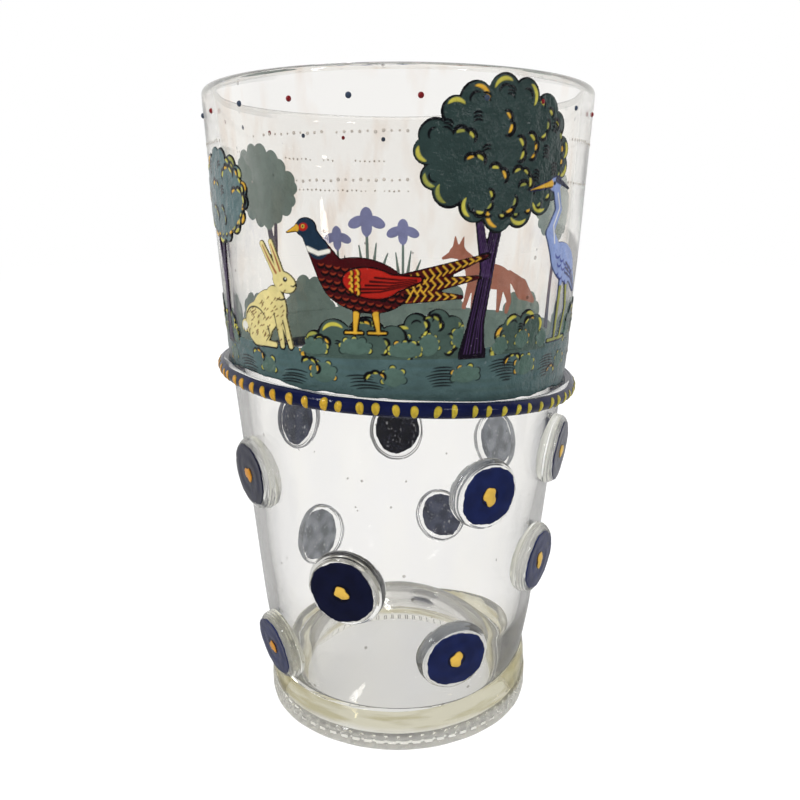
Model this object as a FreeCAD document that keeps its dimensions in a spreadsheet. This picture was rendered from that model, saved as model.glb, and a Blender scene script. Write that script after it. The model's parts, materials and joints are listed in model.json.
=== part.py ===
import FreeCAD, Part
import Sketcher
import math
import os
import re

# Enamelled glass beaker: a tall blown beaker with a pushed-up base, a milled foot ring,
# a painted thread round its middle, enamelled discs below it and a woodland frieze above it.
# The origin is the centre of the circle that the foot stands on, and +Z points up through the mouth.
# Angles run round the axis from +X, so the front of the beaker is at -90 degrees.

doc = FreeCAD.newDocument("EnamelledBeaker")
sheet = doc.addObject("Spreadsheet::Sheet", "Sizes")

# Driving dimensions in millimetres, with counts and angles in degrees
driving = [
    # blown body, outside
    ("height", 220.0),
    ("rim_radius", 65.6),
    ("shoulder_height", 170.0),
    ("shoulder_radius", 62.9),
    ("girdle_height", 125.4),
    ("girdle_radius", 59.7),
    ("waist_height", 36.0),
    ("waist_radius", 51.4),
    ("heel_lift", 1.2),
    ("heel_radius", 45.6),
    # blown body, inside
    ("wall", 3.8),
    ("lip_round", 1.7),
    ("corner_height", 12.5),
    ("corner_radius", 42.6),
    ("kick_top", 33.5),
    ("kick_under", 26.5),
    ("kick_radius", 39.5),
    # milled foot ring
    ("foot_radius", 50.2),
    ("foot_inset", 0.7),
    ("foot_tuck", 1.5),
    ("foot_land", 0.6),
    ("milled_height", 5.5),
    ("band_height", 13.0),
    ("foot_height", 16.5),
    ("mill_radius", 1.15),
    ("mill_depth", 0.75),
    ("mill_count", 72),
    # thread round the girdle, laid on at a slant
    ("thread_radius", 2.45),
    ("thread_seat", 0.35),
    ("thread_rise", 4.0),
    ("thread_enamel", 0.3),
    ("thread_cover_angle", 105.0),
    ("dash_relief", 0.2),
    ("dash_width", 2.3),
    ("dash_cover_angle", 58.0),
    ("dash_count", 72),
    # glass discs and what is painted on them
    ("disc_radius", 12.2),
    ("disc_depth", 4.2),
    ("disc_round", 1.5),
    ("disc_seat", 1.5),
    ("disc_enamel_radius", 10.8),
    ("disc_enamel", 0.4),
    ("disc_dot_radius", 1.9),
    ("disc_dot", 0.3),
    # beads under the rim
    ("bead_radius", 0.95),
    ("bead_drop", 8.5),
    ("bead_turn", -3.0),
    ("bead_count", 22),
    # painted frieze, from the thread up to the beads, and how far a cut runs past what it cuts
    ("relief", 0.45),
    ("ground_gap", 0.2),
    ("ground_depth", 15.6),
    ("overrun", 8.0),
]

for row, (alias, number) in enumerate(driving, start=1):
    sheet.set("A%d" % row, alias)
    sheet.set("B%d" % row, repr(number))
    sheet.setAlias("B%d" % row, alias)
doc.recompute()

aliases = {alias for alias, number in driving}
size = {alias: float(sheet.get(alias)) for alias in aliases}
up = FreeCAD.Vector(0, 0, 1)


def bound(expression):
    """Puts the sheet's name before each of its values in an expression."""
    return re.sub(r"[a-z_]+", lambda word: ("Sizes." if word[0] in aliases else "") + word[0], expression)


def worked(expression):
    """Works an expression on the sheet's values out as a plain number."""
    return float(sheet.evalExpression(bound(expression)))


def origin_plane(body, role):
    return next(item for item in body.Origin.OriginFeatures if item.Role == role)


def new_body(label):
    body = doc.addObject("PartDesign::Body", label)
    body.Label = label
    return body


def new_sketch(body, name, role):
    sketch = body.newObject("Sketcher::SketchObject", name)
    sketch.AttachmentSupport = [(origin_plane(body, role), "")]
    sketch.MapMode = "FlatFace"
    return sketch


def bind_constraint(sketch, kind, arguments, expression, scale=""):
    """Adds a dimension to a sketch and ties it to an expression on the sheet's values."""
    number = worked(expression)
    if scale:
        number = math.radians(number)
    index = sketch.addConstraint(Sketcher.Constraint(kind, *arguments, number))
    sketch.setExpression("Constraints[%d]" % index, "(%s)%s" % (bound(expression), scale))


def place_corner(sketch, line, end, across, along):
    """Ties a point of a sketch to its two coordinates, on the axis where one is zero."""
    if across == "0":
        sketch.addConstraint(Sketcher.Constraint("PointOnObject", line, end, -2))
    else:
        bind_constraint(sketch, "DistanceX", (-1, 1, line, end), across)
    if along == "0":
        sketch.addConstraint(Sketcher.Constraint("PointOnObject", line, end, -1))
    else:
        bind_constraint(sketch, "DistanceY", (-1, 1, line, end), along)


def axis_arc(start, finish):
    """An arc between two points whose centre lies on the vertical axis, and which end comes first."""
    centre_height = (start.y ** 2 + start.x ** 2 - finish.y ** 2 - finish.x ** 2) / (2 * (start.y - finish.y))
    centre = FreeCAD.Vector(0, centre_height, 0)
    low, high = (start, finish) if start.x > finish.x else (finish, start)
    radius = (low - centre).Length
    angles = [math.atan2(point.y - centre.y, point.x) for point in (low, high)]
    circle = Part.Circle(centre, up, radius)
    return Part.ArcOfCircle(circle, *angles), (1, 2) if low is start else (2, 1)


def turned_profile(body, name, corners):
    """Revolves a closed outline on the XZ plane: each corner is two expressions, and where a third
    word says dome, the side to the next corner is an arc centred on the axis."""
    sketch = new_sketch(body, name + "_outline", "XZ_Plane")
    points = [FreeCAD.Vector(worked(corner[0]), worked(corner[1]), 0) for corner in corners]
    ends = []
    for index, corner in enumerate(corners):
        following = points[(index + 1) % len(points)]
        if len(corner) > 2:
            curve, order = axis_arc(points[index], following)
        else:
            curve, order = Part.LineSegment(points[index], following), (1, 2)
        ends.append((sketch.addGeometry(curve, False), order))
    for index, corner in enumerate(corners):
        line, order = ends[index]
        before, before_order = ends[index - 1]
        sketch.addConstraint(Sketcher.Constraint("Coincident", before, before_order[1], line, order[0]))
        place_corner(sketch, line, order[0], corner[0], corner[1])
        if len(corner) > 2:
            sketch.addConstraint(Sketcher.Constraint("PointOnObject", line, 3, -2))
    turned = body.newObject("PartDesign::Revolution", name + "_turned")
    turned.Profile = sketch
    turned.ReferenceAxis = (sketch, ["V_Axis"])
    turned.Angle = 360
    return turned


def rounded_circles(body, name, radius, level):
    """Fillets the circles of the body that lie at a height, with a radius from the sheet."""
    doc.recompute()
    base = body.Tip
    nearness = worked(radius) * nearness_share
    chosen = []
    for number, edge in enumerate(base.Shape.Edges, start=1):
        box = edge.BoundBox
        if box.ZLength < nearness and abs(box.ZMin - worked(level)) < nearness:
            chosen.append("Edge%d" % number)
    fillet = body.newObject("PartDesign::Fillet", name)
    fillet.Base = (base, chosen)
    fillet.setExpression("Radius", bound(radius))
    return fillet


def ring_sector(body, name, inner, outer, cover):
    """Sketches a slice of a tube's skin round the thread's section, open towards the wall."""
    sketch = new_sketch(body, name, "XZ_Plane")
    centre = FreeCAD.Vector(worked(ring), 0, 0)
    half = math.radians(worked(cover))
    arcs = []
    for radius in (inner, outer):
        circle = Part.Circle(centre, up, worked(radius))
        arcs.append(sketch.addGeometry(Part.ArcOfCircle(circle, -half, half), False))
    for end, sign in ((1, -1), (2, 1)):
        way = FreeCAD.Vector(math.cos(half), sign * math.sin(half), 0)
        side = Part.LineSegment(centre + way * worked(inner), centre + way * worked(outer))
        line = sketch.addGeometry(side, False)
        sketch.addConstraint(Sketcher.Constraint("Coincident", line, 1, arcs[0], end))
        sketch.addConstraint(Sketcher.Constraint("Coincident", line, 2, arcs[1], end))
        sketch.addConstraint(Sketcher.Constraint("PointOnObject", arcs[0], 3, line))
        bind_constraint(sketch, "Angle", (line,), ("-" if sign < 0 else "") + cover, " * 1 deg")
    sketch.addConstraint(Sketcher.Constraint("Coincident", arcs[0], 3, arcs[1], 3))
    sketch.addConstraint(Sketcher.Constraint("PointOnObject", arcs[0], 3, -1))
    bind_constraint(sketch, "DistanceX", (-1, 1, arcs[0], 3), ring)
    bind_constraint(sketch, "Radius", (arcs[0],), inner)
    bind_constraint(sketch, "Radius", (arcs[1],), outer)
    return sketch


# Outside of the wall: its corners from the heel to the rim, and how fast each stretch widens
wall_corners = [("heel_radius", "heel_lift"), ("waist_radius", "waist_height"),
                ("girdle_radius", "girdle_height"), ("shoulder_radius", "shoulder_height"),
                ("rim_radius", "height")]
heel_slope = "((waist_radius - heel_radius) / (waist_height - heel_lift))"
lower_slope = "((girdle_radius - waist_radius) / (girdle_height - waist_height))"
upper_slope = "((shoulder_radius - girdle_radius) / (shoulder_height - girdle_height))"
nearness_share = 0.1


def wall_place(level):
    """Radius of the outside of the wall at a height, and how much it widens per unit of height."""
    for (low_radius, low), (high_radius, high) in zip(wall_corners, wall_corners[1:]):
        if level <= size[high] or high == "height":
            slope = (size[high_radius] - size[low_radius]) / (size[high] - size[low])
            return size[low_radius] + slope * (level - size[low]), slope


# Blown body: one gather of glass, with the base pushed up inside
beaker_body = new_body("beaker_body")
turned_profile(beaker_body, "blown", wall_corners + [
    ("rim_radius - wall", "height"),
    ("shoulder_radius - wall", "shoulder_height"),
    ("girdle_radius - wall", "girdle_height"),
    ("waist_radius - wall", "waist_height"),
    ("corner_radius", "corner_height", "dome"),
    ("0", "kick_top"),
    ("0", "kick_under", "dome"),
    ("kick_radius", "heel_lift"),
])
rounded_circles(beaker_body, "lip", "lip_round", "height")
rounded_circles(beaker_body, "floor_corner", "wall", "corner_height")
doc.recompute()

# Foot ring: a band of glass round the heel, milled along its lower edge
seat_radius = "(heel_radius + %s * (foot_height - heel_lift))" % heel_slope
foot_ring = new_body("foot_ring")
turned_profile(foot_ring, "band", [
    ("heel_radius - foot_tuck", "0"),
    ("foot_radius", "0"),
    ("foot_radius", "milled_height"),
    ("foot_radius - foot_inset", "milled_height + foot_inset"),
    ("foot_radius - foot_inset", "band_height"),
    (seat_radius + " + foot_land", "foot_height"),
    (seat_radius, "foot_height"),
    ("heel_radius", "heel_lift"),
    ("heel_radius - foot_tuck", "heel_lift"),
])
doc.recompute()
plain_volume = foot_ring.Shape.Volume
mill_sketch = new_sketch(foot_ring, "mill_outline", "XY_Plane")
mill_place = "foot_radius + mill_radius - mill_depth"
mill_centre = FreeCAD.Vector(worked(mill_place), 0, 0)
mill_circle = mill_sketch.addGeometry(Part.Circle(mill_centre, up, size["mill_radius"]), False)
mill_sketch.addConstraint(Sketcher.Constraint("PointOnObject", mill_circle, 3, -1))
bind_constraint(mill_sketch, "DistanceX", (-1, 1, mill_circle, 3), mill_place)
bind_constraint(mill_sketch, "Radius", (mill_circle,), "mill_radius")
mill_cut = foot_ring.newObject("PartDesign::Pocket", "mill_cut")
mill_cut.Profile = mill_sketch
mill_cut.Reversed = True
mill_cut.setExpression("Length", bound("milled_height"))
mill_pattern = foot_ring.newObject("PartDesign::PolarPattern", "mill_pattern")
mill_pattern.Originals = [mill_cut]
mill_pattern.Axis = (origin_plane(foot_ring, "Z_Axis"), "")
mill_pattern.Angle = 360
mill_pattern.setExpression("Occurrences", bound("mill_count"))
foot_ring.Tip = mill_pattern
doc.recompute()
print("milling takes off %.1f mm3" % (plain_volume - foot_ring.Shape.Volume))

# Thread: a trail of glass round the girdle, higher on the left, with its outer side painted
ring = "(girdle_radius + thread_radius - thread_seat)"
slant = math.atan2(size["thread_rise"], worked(ring))
drift = -size["thread_rise"] * worked("(%s + %s) / 2" % (lower_slope, upper_slope))
thread_place = FreeCAD.Placement(FreeCAD.Vector(drift, 0, size["girdle_height"]),
                                 FreeCAD.Rotation(FreeCAD.Vector(0, 1, 0), math.degrees(slant)))
thread_form = doc.addObject("Part::Torus", "thread_form")
thread_form.setExpression("Radius1", bound(ring))
thread_form.setExpression("Radius2", bound("thread_radius"))
thread_form.Placement = thread_place
thread = doc.addObject("Part::Cut", "thread")
thread.Base = thread_form
thread.Tool = beaker_body

thread_enamel = new_body("thread_enamel")
coat = thread_enamel.newObject("PartDesign::Revolution", "coat")
coat.Profile = ring_sector(thread_enamel, "coat_outline", "thread_radius",
                           "thread_radius + thread_enamel", "thread_cover_angle")
coat.ReferenceAxis = (coat.Profile[0], ["V_Axis"])
coat.Angle = 360
thread_enamel.Placement = thread_place

thread_dashes = new_body("thread_dashes")
thread_dashes.AllowCompound = True
dash = thread_dashes.newObject("PartDesign::Revolution", "dash")
dash.Profile = ring_sector(thread_dashes, "dash_outline", "thread_radius + thread_enamel",
                           "thread_radius + thread_enamel + dash_relief", "dash_cover_angle")
dash.ReferenceAxis = (dash.Profile[0], ["V_Axis"])
dash.Midplane = True
dash.setExpression("Angle", bound("dash_width / %s * 180 / pi" % ring) + " * 1 deg")
dash_pattern = thread_dashes.newObject("PartDesign::PolarPattern", "dash_pattern")
dash_pattern.Originals = [dash]
dash_pattern.Axis = (origin_plane(thread_dashes, "Z_Axis"), "")
dash_pattern.Angle = 360
dash_pattern.setExpression("Occurrences", bound("dash_count"))
thread_dashes.Tip = dash_pattern
thread_dashes.Placement = thread_place
doc.recompute()

# Glass discs, scattered between the foot ring and the thread: the angle of each, how high it sits
# as a share of that zone, and its size as a share
disc_place_shares = [
    (-144.6, 0.864, 1.00), (-62.0, 0.850, 0.94), (-24.0, 0.935, 0.98), (39.6, 0.737, 0.97),
    (91.6, 0.720, 1.00), (140.2, 0.864, 0.95), (-107.8, 0.441, 1.03), (-31.6, 0.441, 1.00),
    (68.6, 0.236, 0.97), (133.8, 0.182, 1.02), (-146.0, 0.000, 1.02), (-69.6, 0.106, 0.99),
]
zone_foot = worked("foot_height + disc_radius")
zone_top = worked("girdle_height - thread_rise - thread_radius - disc_radius")


def wall_frame(angle, level, lift):
    """Placement on the wall's outside, lifted along its normal, with its Z pointing away from the glass."""
    radius, slope = wall_place(level)
    turn = math.radians(angle)
    outward = FreeCAD.Vector(math.cos(turn), math.sin(turn), -slope).normalize()
    foot = FreeCAD.Vector(radius * math.cos(turn), radius * math.sin(turn), level)
    return FreeCAD.Placement(foot + outward * lift, FreeCAD.Rotation(up, outward))


def disc_layer(name, angle, level, radius, thickness, lift):
    """A flat round layer of a disc, bound to the sheet, at a distance from the wall."""
    layer = doc.addObject("Part::Cylinder", name)
    layer.setExpression("Radius", bound(radius))
    layer.setExpression("Height", bound(thickness))
    layer.Placement = wall_frame(angle, level, worked(lift))
    return layer


discs = []
dots = []
for count, (angle, height_share, size_share) in enumerate(disc_place_shares, start=1):
    name = "disc_%02d" % count
    level = zone_foot + (zone_top - zone_foot) * height_share
    blank = disc_layer(name + "_blank", angle, level, "disc_radius * %.2f" % size_share,
                       "disc_depth + disc_seat", "0 - disc_seat")
    doc.recompute()
    outward = blank.Placement.Rotation.multVec(up)
    outer_circle = max(range(len(blank.Shape.Edges)), key=lambda number: (
        blank.Shape.Edges[number].CenterOfMass.dot(outward)))
    softened = doc.addObject("Part::Fillet", name + "_softened")
    softened.Base = blank
    softened.Edges = [(outer_circle + 1, size["disc_round"], size["disc_round"])]
    glass = doc.addObject("Part::Cut", name)
    glass.Base = softened
    glass.Tool = beaker_body
    enamel = disc_layer(name + "_enamel", angle, level, "disc_enamel_radius * %.2f" % size_share,
                        "disc_enamel", "disc_depth")
    dots.append(disc_layer(name + "_dot", angle, level, "disc_dot_radius", "disc_dot",
                           "disc_depth + disc_enamel"))
    discs += [glass, enamel]
disc_dots = doc.addObject("Part::Compound", "disc_dots")
disc_dots.Links = dots
doc.recompute()

# Beads of enamel under the rim, blue and red by turns
bead_level = size["height"] - size["bead_drop"]
shoulder = FreeCAD.Vector(0, 0, size["shoulder_height"])
lip_cone = Part.makeCone(size["shoulder_radius"], size["rim_radius"], size["height"] - shoulder.z, shoulder)
beads = []
for colour, first in (("blue", 0), ("red", 1)):
    drops = []
    for count in range(first, int(size["bead_count"]), 2):
        centre = wall_frame(size["bead_turn"] + 360 * count / size["bead_count"], bead_level, 0).Base
        drops.append(Part.makeSphere(size["bead_radius"], centre).cut(lip_cone))
    group = doc.addObject("Part::Feature", "beads_" + colour)
    group.Shape = Part.makeCompound(drops)
    beads.append(group)

# Skin of the frieze: the space that raised enamel takes on the wall, from the thread to the lip
skin_corners = [("girdle_radius - overrun * %s" % lower_slope, "girdle_height - overrun")] + wall_corners[2:]
skin_body = new_body("skin_form")
turned_profile(skin_body, "skin", skin_corners + [
    (radius + " + relief", level) for radius, level in reversed(skin_corners)])
doc.recompute()
skin = skin_body.Shape
reach = skin.BoundBox.XMax + size["overrun"]

# The picture is drawn flat and unrolled, in shares of its height, from the top of the ground to the
# beads. Across, one share is as long as the girdle's radius makes it, so it follows the girth.
picture_foot = worked("girdle_height + ground_depth")
picture_tall = bead_level - picture_foot
picture_wide_share = 1.181
picture_wide = size["girdle_radius"] * picture_wide_share


def pictured(point):
    """A point of the flat picture, from its shares."""
    return FreeCAD.Vector(point.x * picture_wide, point.y * picture_tall, 0)


def oval(across, along, wide, tall, turn):
    """A filled ellipse: its two half axes are turned, drawn to the picture's size and squared again."""
    spin = FreeCAD.Rotation(up, turn)
    first = pictured(spin.multVec(FreeCAD.Vector(wide, 0, 0)))
    second = pictured(spin.multVec(FreeCAD.Vector(0, tall, 0)))
    lean = math.atan2(2 * first.dot(second), first.dot(first) - second.dot(second)) / 2
    major = first * math.cos(lean) + second * math.sin(lean)
    minor = second * math.cos(lean) - first * math.sin(lean)
    centre = pictured(FreeCAD.Vector(across, along, 0))
    if math.isclose(major.Length, minor.Length, rel_tol=nearness_share ** 3):
        curve = Part.Circle(centre, up, major.Length)
    else:
        curve = Part.Ellipse(centre + major, centre + minor, centre)
    return Part.Face(Part.Wire(curve.toShape()))


def limb(across, along, far_across, far_along, near_radius, far_radius):
    """A filled stroke with round ends that tapers from one radius to another."""
    near = FreeCAD.Vector(across, along, 0)
    far = FreeCAD.Vector(far_across, far_along, 0)
    lean = math.degrees(math.acos((near_radius - far_radius) / (far - near).Length))
    way = (far - near).normalize()
    right = FreeCAD.Rotation(up, -lean).multVec(way)
    left = FreeCAD.Rotation(up, lean).multVec(way)
    corners = [near + right * near_radius, far + right * far_radius, far + way * far_radius,
               far + left * far_radius, near + left * near_radius, near - way * near_radius]
    points = [pictured(corner) for corner in corners]
    edges = [
        Part.LineSegment(points[0], points[1]),
        Part.Arc(points[1], points[2], points[3]),
        Part.LineSegment(points[3], points[4]),
        Part.Arc(points[4], points[5], points[0]),
    ]
    return Part.Face(Part.Wire([edge.toShape() for edge in edges]))


def foliage(wide, tall, lobe_shares):
    """A filled crown whose edge is a chain of round lobes, each as far out as its share says."""
    corners = []
    for count, share in enumerate(lobe_shares):
        turn = 2 * math.pi * count / len(lobe_shares)
        corners.append(FreeCAD.Vector(wide * share * math.cos(turn), tall * share * math.sin(turn), 0))
    edges = []
    for start, finish in zip(corners, corners[1:] + corners[:1]):
        chord = finish - start
        middle = (start + finish) / 2 + FreeCAD.Vector(chord.y, -chord.x, 0) * lobe_swell_share
        edges.append(Part.Arc(pictured(start), pictured(middle), pictured(finish)).toShape())
    return Part.Face(Part.Wire(edges))


def joined(faces):
    """Flat faces that overlap, as one face without inner edges."""
    return faces[0].fuse(faces[1:]).removeSplitter().Faces[0] if len(faces) > 1 else faces[0]


def drawn(shapes, growth):
    """Joins ovals, of five shares, and limbs, of six, into one flat figure that has grown by a share."""
    faces = []
    for shares in shapes:
        if len(shares) == 5:
            faces.append(oval(*[share * growth for share in shares[:4]], shares[4]))
        else:
            faces.append(limb(*[share * growth for share in shares]))
    return joined(faces)


def above_foot(figure):
    """What a flat figure has above its foot line."""
    box = figure.BoundBox
    margin = size["overrun"]
    keep = Part.makePlane(box.XLength + 2 * margin, box.YMax + margin, FreeCAD.Vector(box.XMin - margin, 0, 0))
    return figure.common(keep)


painted = []


def paint(flat, angle, level_share):
    """Lays a flat figure on the wall at an angle and a height, and keeps what earlier figures leave."""
    turn = math.radians(angle)
    outward = FreeCAD.Vector(math.cos(turn), math.sin(turn), 0)
    rightward = up.cross(outward)
    level = picture_foot + picture_tall * level_share
    prism = flat.extrude(up * reach)
    prism.Placement = FreeCAD.Placement(FreeCAD.Matrix(
        rightward.x, up.x, outward.x, 0,
        rightward.y, up.y, outward.y, 0,
        rightward.z, up.z, outward.z, level,
        0, 0, 0, 1))
    coat = skin.common(prism)
    for other in painted:
        if coat.BoundBox.intersect(other.BoundBox):
            coat = coat.cut(other)
    painted.append(coat)
    return coat


def motif(name, coats):
    """A node of the frieze, which holds one coat of enamel or several."""
    node = doc.addObject("Part::Feature", name)
    solids = [solid for coat in coats for solid in coat.Solids]
    node.Shape = solids[0] if len(solids) == 1 else Part.makeCompound(solids)
    return node


# Animals and flowers, in shares of each one's height from the middle of its foot
hare_shares = [
    (-0.15, 0.21, 0.21, 0.21, 0), (-0.03, 0.32, 0.26, 0.18, 48), (0.13, 0.41, 0.13, 0.18, 10),
    (0.25, 0.62, 0.14, 0.10, -18), (-0.37, 0.17, 0.08, 0.07, 20),
    (0.17, 0.68, 0.02, 0.95, 0.045, 0.035), (0.22, 0.70, 0.13, 0.97, 0.045, 0.032),
    (0.14, 0.30, 0.17, 0.035, 0.055, 0.033), (0.20, 0.31, 0.27, 0.035, 0.050, 0.030),
    (-0.20, 0.043, 0.08, 0.035, 0.042, 0.032),
]
pheasant_shares = [
    (0.00, 0.42, 0.38, 0.23, -10), (-0.49, 0.89, 0.10, 0.085, 0),
    (-0.27, 0.52, -0.46, 0.84, 0.14, 0.075), (-0.56, 0.89, -0.67, 0.85, 0.035, 0.010),
    (0.28, 0.40, 1.00, 0.66, 0.110, 0.020), (0.28, 0.38, 0.93, 0.48, 0.100, 0.020),
    (0.26, 0.35, 0.80, 0.32, 0.090, 0.020), (-0.06, 0.24, -0.08, 0.025, 0.040, 0.022),
    (0.09, 0.24, 0.12, 0.025, 0.040, 0.022), (-0.16, 0.02, -0.02, 0.02, 0.018, 0.017),
    (0.04, 0.02, 0.18, 0.02, 0.018, 0.017),
]
wing_shares = [(0.06, 0.44, 0.24, 0.13, -8), (0.20, 0.43, 0.46, 0.47, 0.090, 0.025)]
heron_shares = [
    (0.00, 0.48, 0.19, 0.11, -24), (-0.20, 0.93, 0.065, 0.043, 8),
    (-0.13, 0.55, -0.21, 0.66, 0.060, 0.040), (-0.21, 0.66, -0.14, 0.79, 0.040, 0.034),
    (-0.14, 0.79, -0.185, 0.91, 0.034, 0.036), (-0.25, 0.93, -0.41, 0.895, 0.022, 0.006),
    (-0.16, 0.95, -0.04, 0.91, 0.018, 0.007), (0.12, 0.42, 0.26, 0.30, 0.060, 0.022),
    (-0.02, 0.38, -0.03, 0.02, 0.022, 0.015), (0.06, 0.37, 0.10, 0.20, 0.022, 0.016),
    (0.10, 0.20, 0.05, 0.02, 0.016, 0.015), (-0.11, 0.015, 0.00, 0.015, 0.014, 0.013),
    (0.02, 0.015, 0.12, 0.015, 0.014, 0.013),
]
fox_shares = [
    (0.00, 0.46, 0.38, 0.17, 3), (0.28, 0.50, 0.18, 0.181, 0), (0.60, 0.77, 0.13, 0.10, -20),
    (0.34, 0.56, 0.54, 0.74, 0.130, 0.090), (0.66, 0.74, 0.81, 0.67, 0.060, 0.022),
    (0.55, 0.82, 0.51, 0.98, 0.050, 0.012), (0.63, 0.85, 0.64, 0.98, 0.045, 0.012),
    (0.26, 0.38, 0.31, 0.032, 0.070, 0.032), (0.35, 0.38, 0.45, 0.030, 0.060, 0.030),
    (-0.27, 0.38, -0.36, 0.17, 0.100, 0.045), (-0.36, 0.17, -0.32, 0.03, 0.045, 0.030),
    (-0.17, 0.34, -0.14, 0.03, 0.070, 0.030), (-0.34, 0.50, -0.62, 0.34, 0.060, 0.130),
    (-0.62, 0.34, -0.90, 0.23, 0.130, 0.030),
]
leaf_shares = [
    (0.00, 0.02, 0.00, 0.70, 0.020, 0.016), (-0.02, 0.045, -0.22, 0.52, 0.045, 0.008),
    (0.02, 0.045, 0.20, 0.45, 0.045, 0.008), (0.01, 0.04, 0.09, 0.60, 0.040, 0.008),
    (-0.01, 0.04, -0.10, 0.62, 0.040, 0.008),
]
flower_shares = [
    (0.00, 0.90, 0.07, 0.10, 0), (-0.11, 0.84, 0.10, 0.06, 25), (0.11, 0.84, 0.10, 0.06, -25),
    (0.00, 0.78, 0.06, 0.09, 0),
]

# What stands in front is painted first: each figure's angle, and its foot and height as shares
figure_shares = [
    ("hare", hare_shares, -130, 0.0, 0.468),
    ("pheasant_wing", wing_shares, -99, 0.085, 0.482),
    ("pheasant", pheasant_shares, -99, 0.085, 0.482),
    ("heron", heron_shares, -34, 0.0, 0.738),
    ("fox", fox_shares, 48, 0.0, 0.426),
]
iris_shares = [(88, 0.524), (103, 0.596), (116, 0.477)]
frieze = []
for name, shapes, angle, level_share, growth_share in figure_shares:
    frieze.append(motif(name, [paint(drawn(shapes, growth_share), angle, level_share)]))
flowers = []
leaves = []
for angle, growth_share in iris_shares:
    flowers.append(paint(drawn(flower_shares, growth_share), angle, 0))
    leaves.append(paint(drawn(leaf_shares, growth_share), angle, 0))
frieze.append(motif("iris_flowers", flowers))
frieze.append(motif("iris_leaves", leaves))

# Trees: the angle of each, its size as a share of the large tree's, and the middle of its crown.
# A trunk's joints are given across by the crown's width, along by the stem, and by their thickness.
tree_place_shares = [(-62, 1.00, 0.794), (-150, 0.70, 0.641), (152, 0.80, 0.696), (12, 0.62, 0.585)]
tree_wide_share = 0.355
tree_tall_share = 0.262
crown_lobe_shares = [1.00, 0.93, 1.02, 0.95, 1.05, 0.97, 1.00, 0.92, 1.03, 0.96, 1.01, 0.94, 0.99,
                     1.04, 0.93, 1.00, 0.95]
trunk_shares = [(-0.30, 0.00, 0.17), (-0.27, 0.16, 0.11), (-0.14, 0.52, 0.085), (0.02, 0.86, 0.075),
                (0.10, 1.10, 0.045)]
branch_shares = [(-0.18, 0.40, 0.07), (-0.42, 0.95, 0.035)]
lobe_swell_share = 0.30
for count, (angle, growth_share, centre_share) in enumerate(tree_place_shares, start=1):
    crown = foliage(tree_wide_share * growth_share, tree_tall_share * growth_share, crown_lobe_shares)
    frieze.append(motif("tree_%d_crown" % count, [paint(crown, angle, centre_share)]))
for count, (angle, growth_share, centre_share) in enumerate(tree_place_shares, start=1):
    wide = tree_wide_share * growth_share
    limbs = []
    for route in (trunk_shares, branch_shares):
        for start, finish in zip(route, route[1:]):
            limbs.append(limb(start[0] * wide, start[1] * centre_share, finish[0] * wide,
                              finish[1] * centre_share, start[2] * wide, finish[2] * wide))
    frieze.append(motif("tree_%d_trunk" % count, [paint(above_foot(joined(limbs)), angle, 0)]))

# Bushes on the top edge of the ground: the angle of each, and its two sizes as shares
bush_place_shares = [(-101, 1.20, 0.80), (-81, 0.80, 1.10), (-52, 0.75, 0.95), (-14, 0.95, 0.90),
                     (28, 0.90, 0.80), (70, 0.60, 1.05), (132, 0.85, 1.10), (165, 0.70, 0.85),
                     (-172, 0.80, 1.05), (-155, 0.55, 0.80)]
bush_wide_share = 0.213
bush_tall_share = 0.156
bush_lobe_shares = [1.00, 0.94, 1.06, 0.97, 1.04, 0.95, 1.00, 1.00, 1.00, 1.00, 1.00]
bushes = []
for angle, wide_share, tall_share in bush_place_shares:
    bush = foliage(bush_wide_share * wide_share, bush_tall_share * tall_share, bush_lobe_shares)
    bushes.append(paint(above_foot(bush), angle, 0))
frieze.append(motif("bushes", bushes))

# Ground: a band of green from just above the thread to the feet of the motifs
slab = Part.makeCylinder(reach, picture_foot)
under = Part.makeCylinder(reach, picture_foot, FreeCAD.Vector(0, 0, -picture_foot))
under.Placement = thread_place
under.translate(thread_place.Rotation.multVec(up) * worked("thread_radius + thread_enamel + ground_gap"))
frieze.append(motif("ground", [skin.common(slab).cut(under)]))
doc.recompute()

# Every object has to be sound before anything is written
for item in doc.Objects:
    faults = [state for state in item.State if state in ("Invalid", "Error")]
    if faults:
        raise RuntimeError("%s is %s" % (item.Name, faults))
nodes = [beaker_body, foot_ring, thread, thread_enamel, thread_dashes] + discs + [disc_dots] + beads + frieze
os.makedirs("parts", exist_ok=True)
for node in nodes:
    shape = node.Shape
    if shape.isNull() or not shape.isValid() or shape.Volume <= 0:
        raise RuntimeError("%s has no sound shape" % node.Label)
    node.Label = node.Name
    shape.exportStep("parts/%s.step" % node.Label)
    print("%-18s %2d solids %10.1f mm3" % (node.Label, len(shape.Solids), shape.Volume))
print("%d nodes" % len(nodes))
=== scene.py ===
import json
import math

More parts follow.
